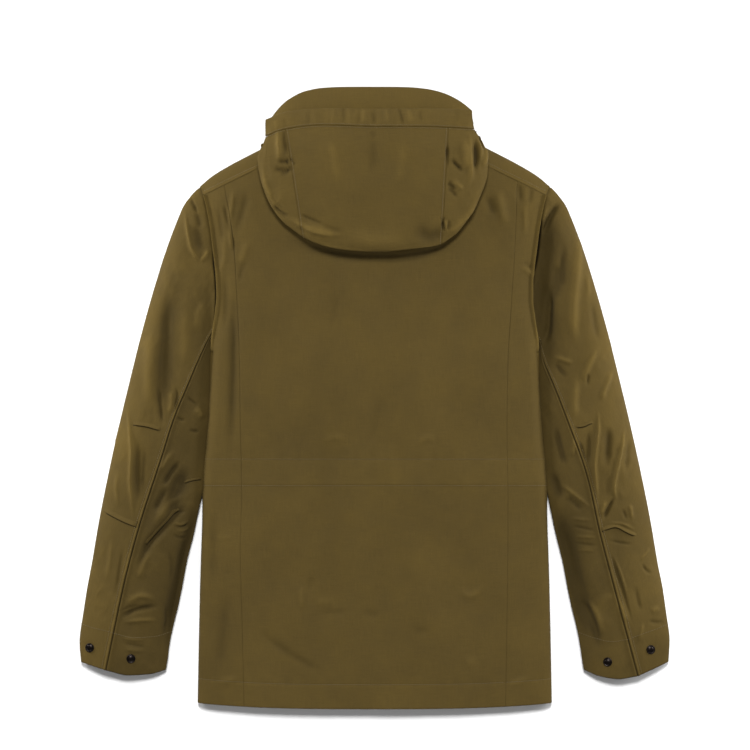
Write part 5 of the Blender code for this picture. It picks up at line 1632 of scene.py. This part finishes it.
def tube_faces(rings, sides, base=0):
    """The faces round a row of rings, and the two that close it."""
    faces = []
    for k in range(rings - 1):
        for j in range(sides):
            a, b = base + k * sides + j, base + k * sides + (j + 1) % sides
            faces.append((a, b, b + sides, a + sides))
    ends = [tuple(base + k * sides + j for j in range(sides)) for k in (0, rings - 1)]
    return faces + [ends[0][::-1], ends[1]]


def revolved(name, profile, centre, tilt, looks):
    """A round piece from a profile of (radius, height) about its own upright line, tilted onto the cloth."""
    turns = [2 * math.pi * k / SNAP_SIDES for k in range(SNAP_SIDES)]
    spin = Vector(tilt).normalized().to_track_quat("Z", "Y").to_matrix()
    points = [Vector((r * math.cos(a), r * math.sin(a), height)) for r, height in profile for a in turns]
    placed = [np.array(spin @ p) + centre for p in points]
    return mesh_of(name, np.array(placed), tube_faces(len(profile), SNAP_SIDES), looks)


# The pieces ---------------------------------------------------------------------------------------


def cloth_pieces():
    """Every cloth piece by its node's name."""
    made = {}

    def add(name, *form, **details):
        made[name] = Cloth(name, *form, **details)

    seams = {"first": faint_seam, "last": faint_seam, "start": open_edge}
    add("back_center", center_back(), 1, body_relief, seams, marks=BODY_MARKS, seed=101)
    for side, sign in SIDES.items():
        seams = {"first": faint_seam, "last": rolled_armhole, "start": open_edge}
        add(f"back_side_{side}", side_back(side), sign, body_relief, seams, marks=BODY_MARKS, seed=111 + sign)
        seams = {"end": topstitched_seam, "start": open_edge}
        add(f"front_{side}", front(side), -sign, body_relief, seams, marks=(HEM_DEEP,), seed=121 + sign)
        seams = {"first": ridged_seam, "start": under_armhole(side), "end": open_edge}
        for part, rows, way, seed in (
            ("upper", upper_sleeve(side), -sign, 131 + sign),
            ("under", under_sleeve(side), sign, 141 + sign),
        ):
            add(
                f"sleeve_{part}_{side}", rows, way, sleeve_relief(side), seams,
                seed=seed, step=SLEEVE_STEP, lips=LIPS[side], valley=side,
            )
    add("collar", collar(), -1, collar_relief, {"end": open_edge}, seed=151)
    seams = {"start": faint_seam, "end": faint_seam, "first": edge_stitched_seam}
    for name, *panel in HOOD_PANELS:
        add(name, hood_panel(*panel), 1, hood_relief, seams, seed=161, step=HOOD_STEP)
    add("hood_casing", casing(), -1, casing_relief, {"first": edge_stitched_seam}, seed=171, step=HOOD_STEP)
    return made


def stand_in(name):
    """Hides a solid, so that the mesh built for it shows in its place."""
    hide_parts(name)


def show_cloth(made):
    """Builds the cloth pieces and hides the solids that they stand in for."""
    for name, piece in made.items():
        piece.build(cloth_look(name, PAINTED_SEAM_SHADE[name.split("_")[0]]))
        stand_in(name)


def hidden_layers():
    """The hood's hidden layers, smooth between the rings of the solid."""
    loops = np.array(folded_layers(), float)
    loops = np.concatenate([loops, loops[:, :1]], axis=1)
    for axis in (0, 1):
        loops = finer(loops, axis, edges=(False, False), step=LAYERS_STEP)
    loops = loops[:, :-1]
    n, m = loops.shape[:2]
    index = np.arange(n * m).reshape(n, m)
    after = np.roll(index, -1, axis=1)
    quads = np.stack([index[:-1], after[:-1], after[1:], index[1:]], axis=-1).reshape(-1, 4)
    faces = quads.tolist()
    points = list(loops.reshape(-1, 3))
    for row, way in ((0, -1), (n - 1, 1)):
        hub = len(points)
        points.append(loops[row].mean(axis=0))
        faces += [(hub, *(int(a), int(b))[::way]) for a, b in zip(index[row], after[row])]
    shown = mesh_of("hood_layers_shell", np.array(points), faces, cloth_look("hood_layers"))
    shown.data.uv_layers.new(name="cloth")
    stand_in("hood_layers")


def sewing(made):
    """The stitched rows: the hem and the waist, the shoulder seams, the sleeves and cuffs, and the hood."""
    body, arms = [], []
    for name in ("back_center", "back_side_left", "back_side_right"):
        piece = made[name]
        up = piece.points[..., 1]
        body.append(piece.line_where(up - hem_up(piece.points[..., 0]), HEM_DEEP))
        body += [piece.line_where(up, level) for level in WAIST_ROWS]
    for side in SIDES:
        body.append(made[f"front_{side}"].edge_line("end", STITCH_IN))
        arms.append(made[f"sleeve_upper_{side}"].edge_line("first", STITCH_IN))
        arms += [made[f"sleeve_{part}_{side}"].edge_line("end", CUFF_DEEP) for part in ("upper", "under")]
    panels = ("hood_side_left", "hood_center", "hood_side_right")
    hood = [made[name].edge_line("first", HOOD_STITCH_IN) for name in panels]
    hood += [made["hood_center"].edge_line(edge, MOUTH_STITCH_IN) for edge in ("start", "end")]
    hood.append(made["hood_casing"].edge_line("first", CASING_STITCH_IN))
    looks = thread_look("thread")
    stitches("stitching_body", body, looks)
    stitches("stitching_sleeves", arms, looks)
    stitches("stitching_hood", hood, looks)


def snaps(made):
    """The domed caps of the snaps, each seated on the cloth and tilted as it is."""
    looks = metal_look("dark_snap", *SNAP_METAL)
    for number, (side, part) in enumerate(SNAPS, 1):
        name = f"snap_{side}_{number}"
        low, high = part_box(name)
        middle = (np.array(low) + np.array(high)) / 2 / MM + (0.0, HEM_TO_MIDDLE, 0.0)
        piece = made[f"sleeve_{part}_{side}"]
        flat, normal = piece.points.reshape(-1, 3), piece.normal.reshape(-1, 3)
        distance = np.hypot(flat[:, 0] - middle[0], flat[:, 1] - middle[1])
        nearest = (distance < SNAP_R) & (normal[:, 2] > FACING_UP)
        seat = np.array([middle[0], middle[1], flat[nearest].mean(axis=0)[2]])
        shown = revolved(name + "_cap", SNAP_PROFILE, seat, normal[nearest].mean(axis=0), looks)
        shown.data.set_sharp_from_angle(angle=math.radians(SNAP_SHARP))
        stand_in(name)


def front_closure():
    """Looks for the zip's tape and slider, which stay as the solids made them."""
    for name, looks in (
        ("front_zip", thread_look("zip_tape")),
        ("zip_slider", metal_look("zip_metal", *ZIP_METAL)),
    ):
        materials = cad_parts[name].data.materials
        materials.clear()
        materials.append(looks)


def aim(holder, place, target):
    holder.location = place
    holder.rotation_euler = (Vector(target) - Vector(place)).to_track_quat("-Z", "Y").to_euler()
    bpy.context.scene.collection.objects.link(holder)


def lighting():
    """A soft key light from the top of the picture, and low lights from its sides."""
    sun = bpy.data.lights.new("key", "SUN")
    sun.angle = math.radians(KEY_SOFT)
    sun.energy = KEY_STRENGTH
    aim(bpy.data.objects.new("key", sun), KEY_FROM, (0.0, 0.0, 0.0))
    for name, place, target, (long, wide), power in SIDE_LIGHTS:
        light = bpy.data.lights.new(name, "AREA")
        light.shape = "RECTANGLE"
        light.size, light.size_y = long, wide
        light.energy = power
        aim(bpy.data.objects.new(name, light), place, target)


def stage():
    """The white surface and the even light."""
    scene = bpy.context.scene
    corners = [(FLOOR_HALF * x, FLOOR_HALF * y, 0) for x, y in ((-1, -1), (1, -1), (1, 1), (-1, 1))]
    floor = bpy.data.meshes.new("floor")
    floor.from_pydata(corners, [], [(0, 1, 2, 3)])
    white = Nodes(
        "white_floor", {"Base Color": toned(FLOOR_COLOUR), "Roughness": 0.9, "Specular IOR Level": 0.2}
    )
    floor.materials.append(white.material)
    ground = bpy.data.objects.new("floor", floor)
    ground.location = (0, 0, -FLOOR_DROP)
    scene.collection.objects.link(ground)
    world = bpy.data.worlds.new("studio")
    world.use_nodes = True
    world.node_tree.nodes["Background"].inputs["Color"].default_value = (1, 1, 1, 1)
    world.node_tree.nodes["Background"].inputs["Strength"].default_value = FILL
    scene.world = world
    scene.view_settings.view_transform = "Standard"
    scene.view_settings.look = "None"


def camera():
    """A long lens from straight above."""
    lens = bpy.data.cameras.new("camera")
    lens.sensor_width = SENSOR
    lens.lens = SENSOR * (CAMERA_AT[2] - FOCUS_Z) / PHOTO_WIDTH
    lens.clip_end = 50.0
    eye = bpy.data.objects.new("camera", lens)
    eye.location = CAMERA_AT
    bpy.context.scene.collection.objects.link(eye)
    bpy.context.scene.camera = eye


camera()
lighting()
stage()
PIECES = cloth_pieces()
show_cloth(PIECES)
hidden_layers()
sewing(PIECES)
snaps(PIECES)
front_closure()
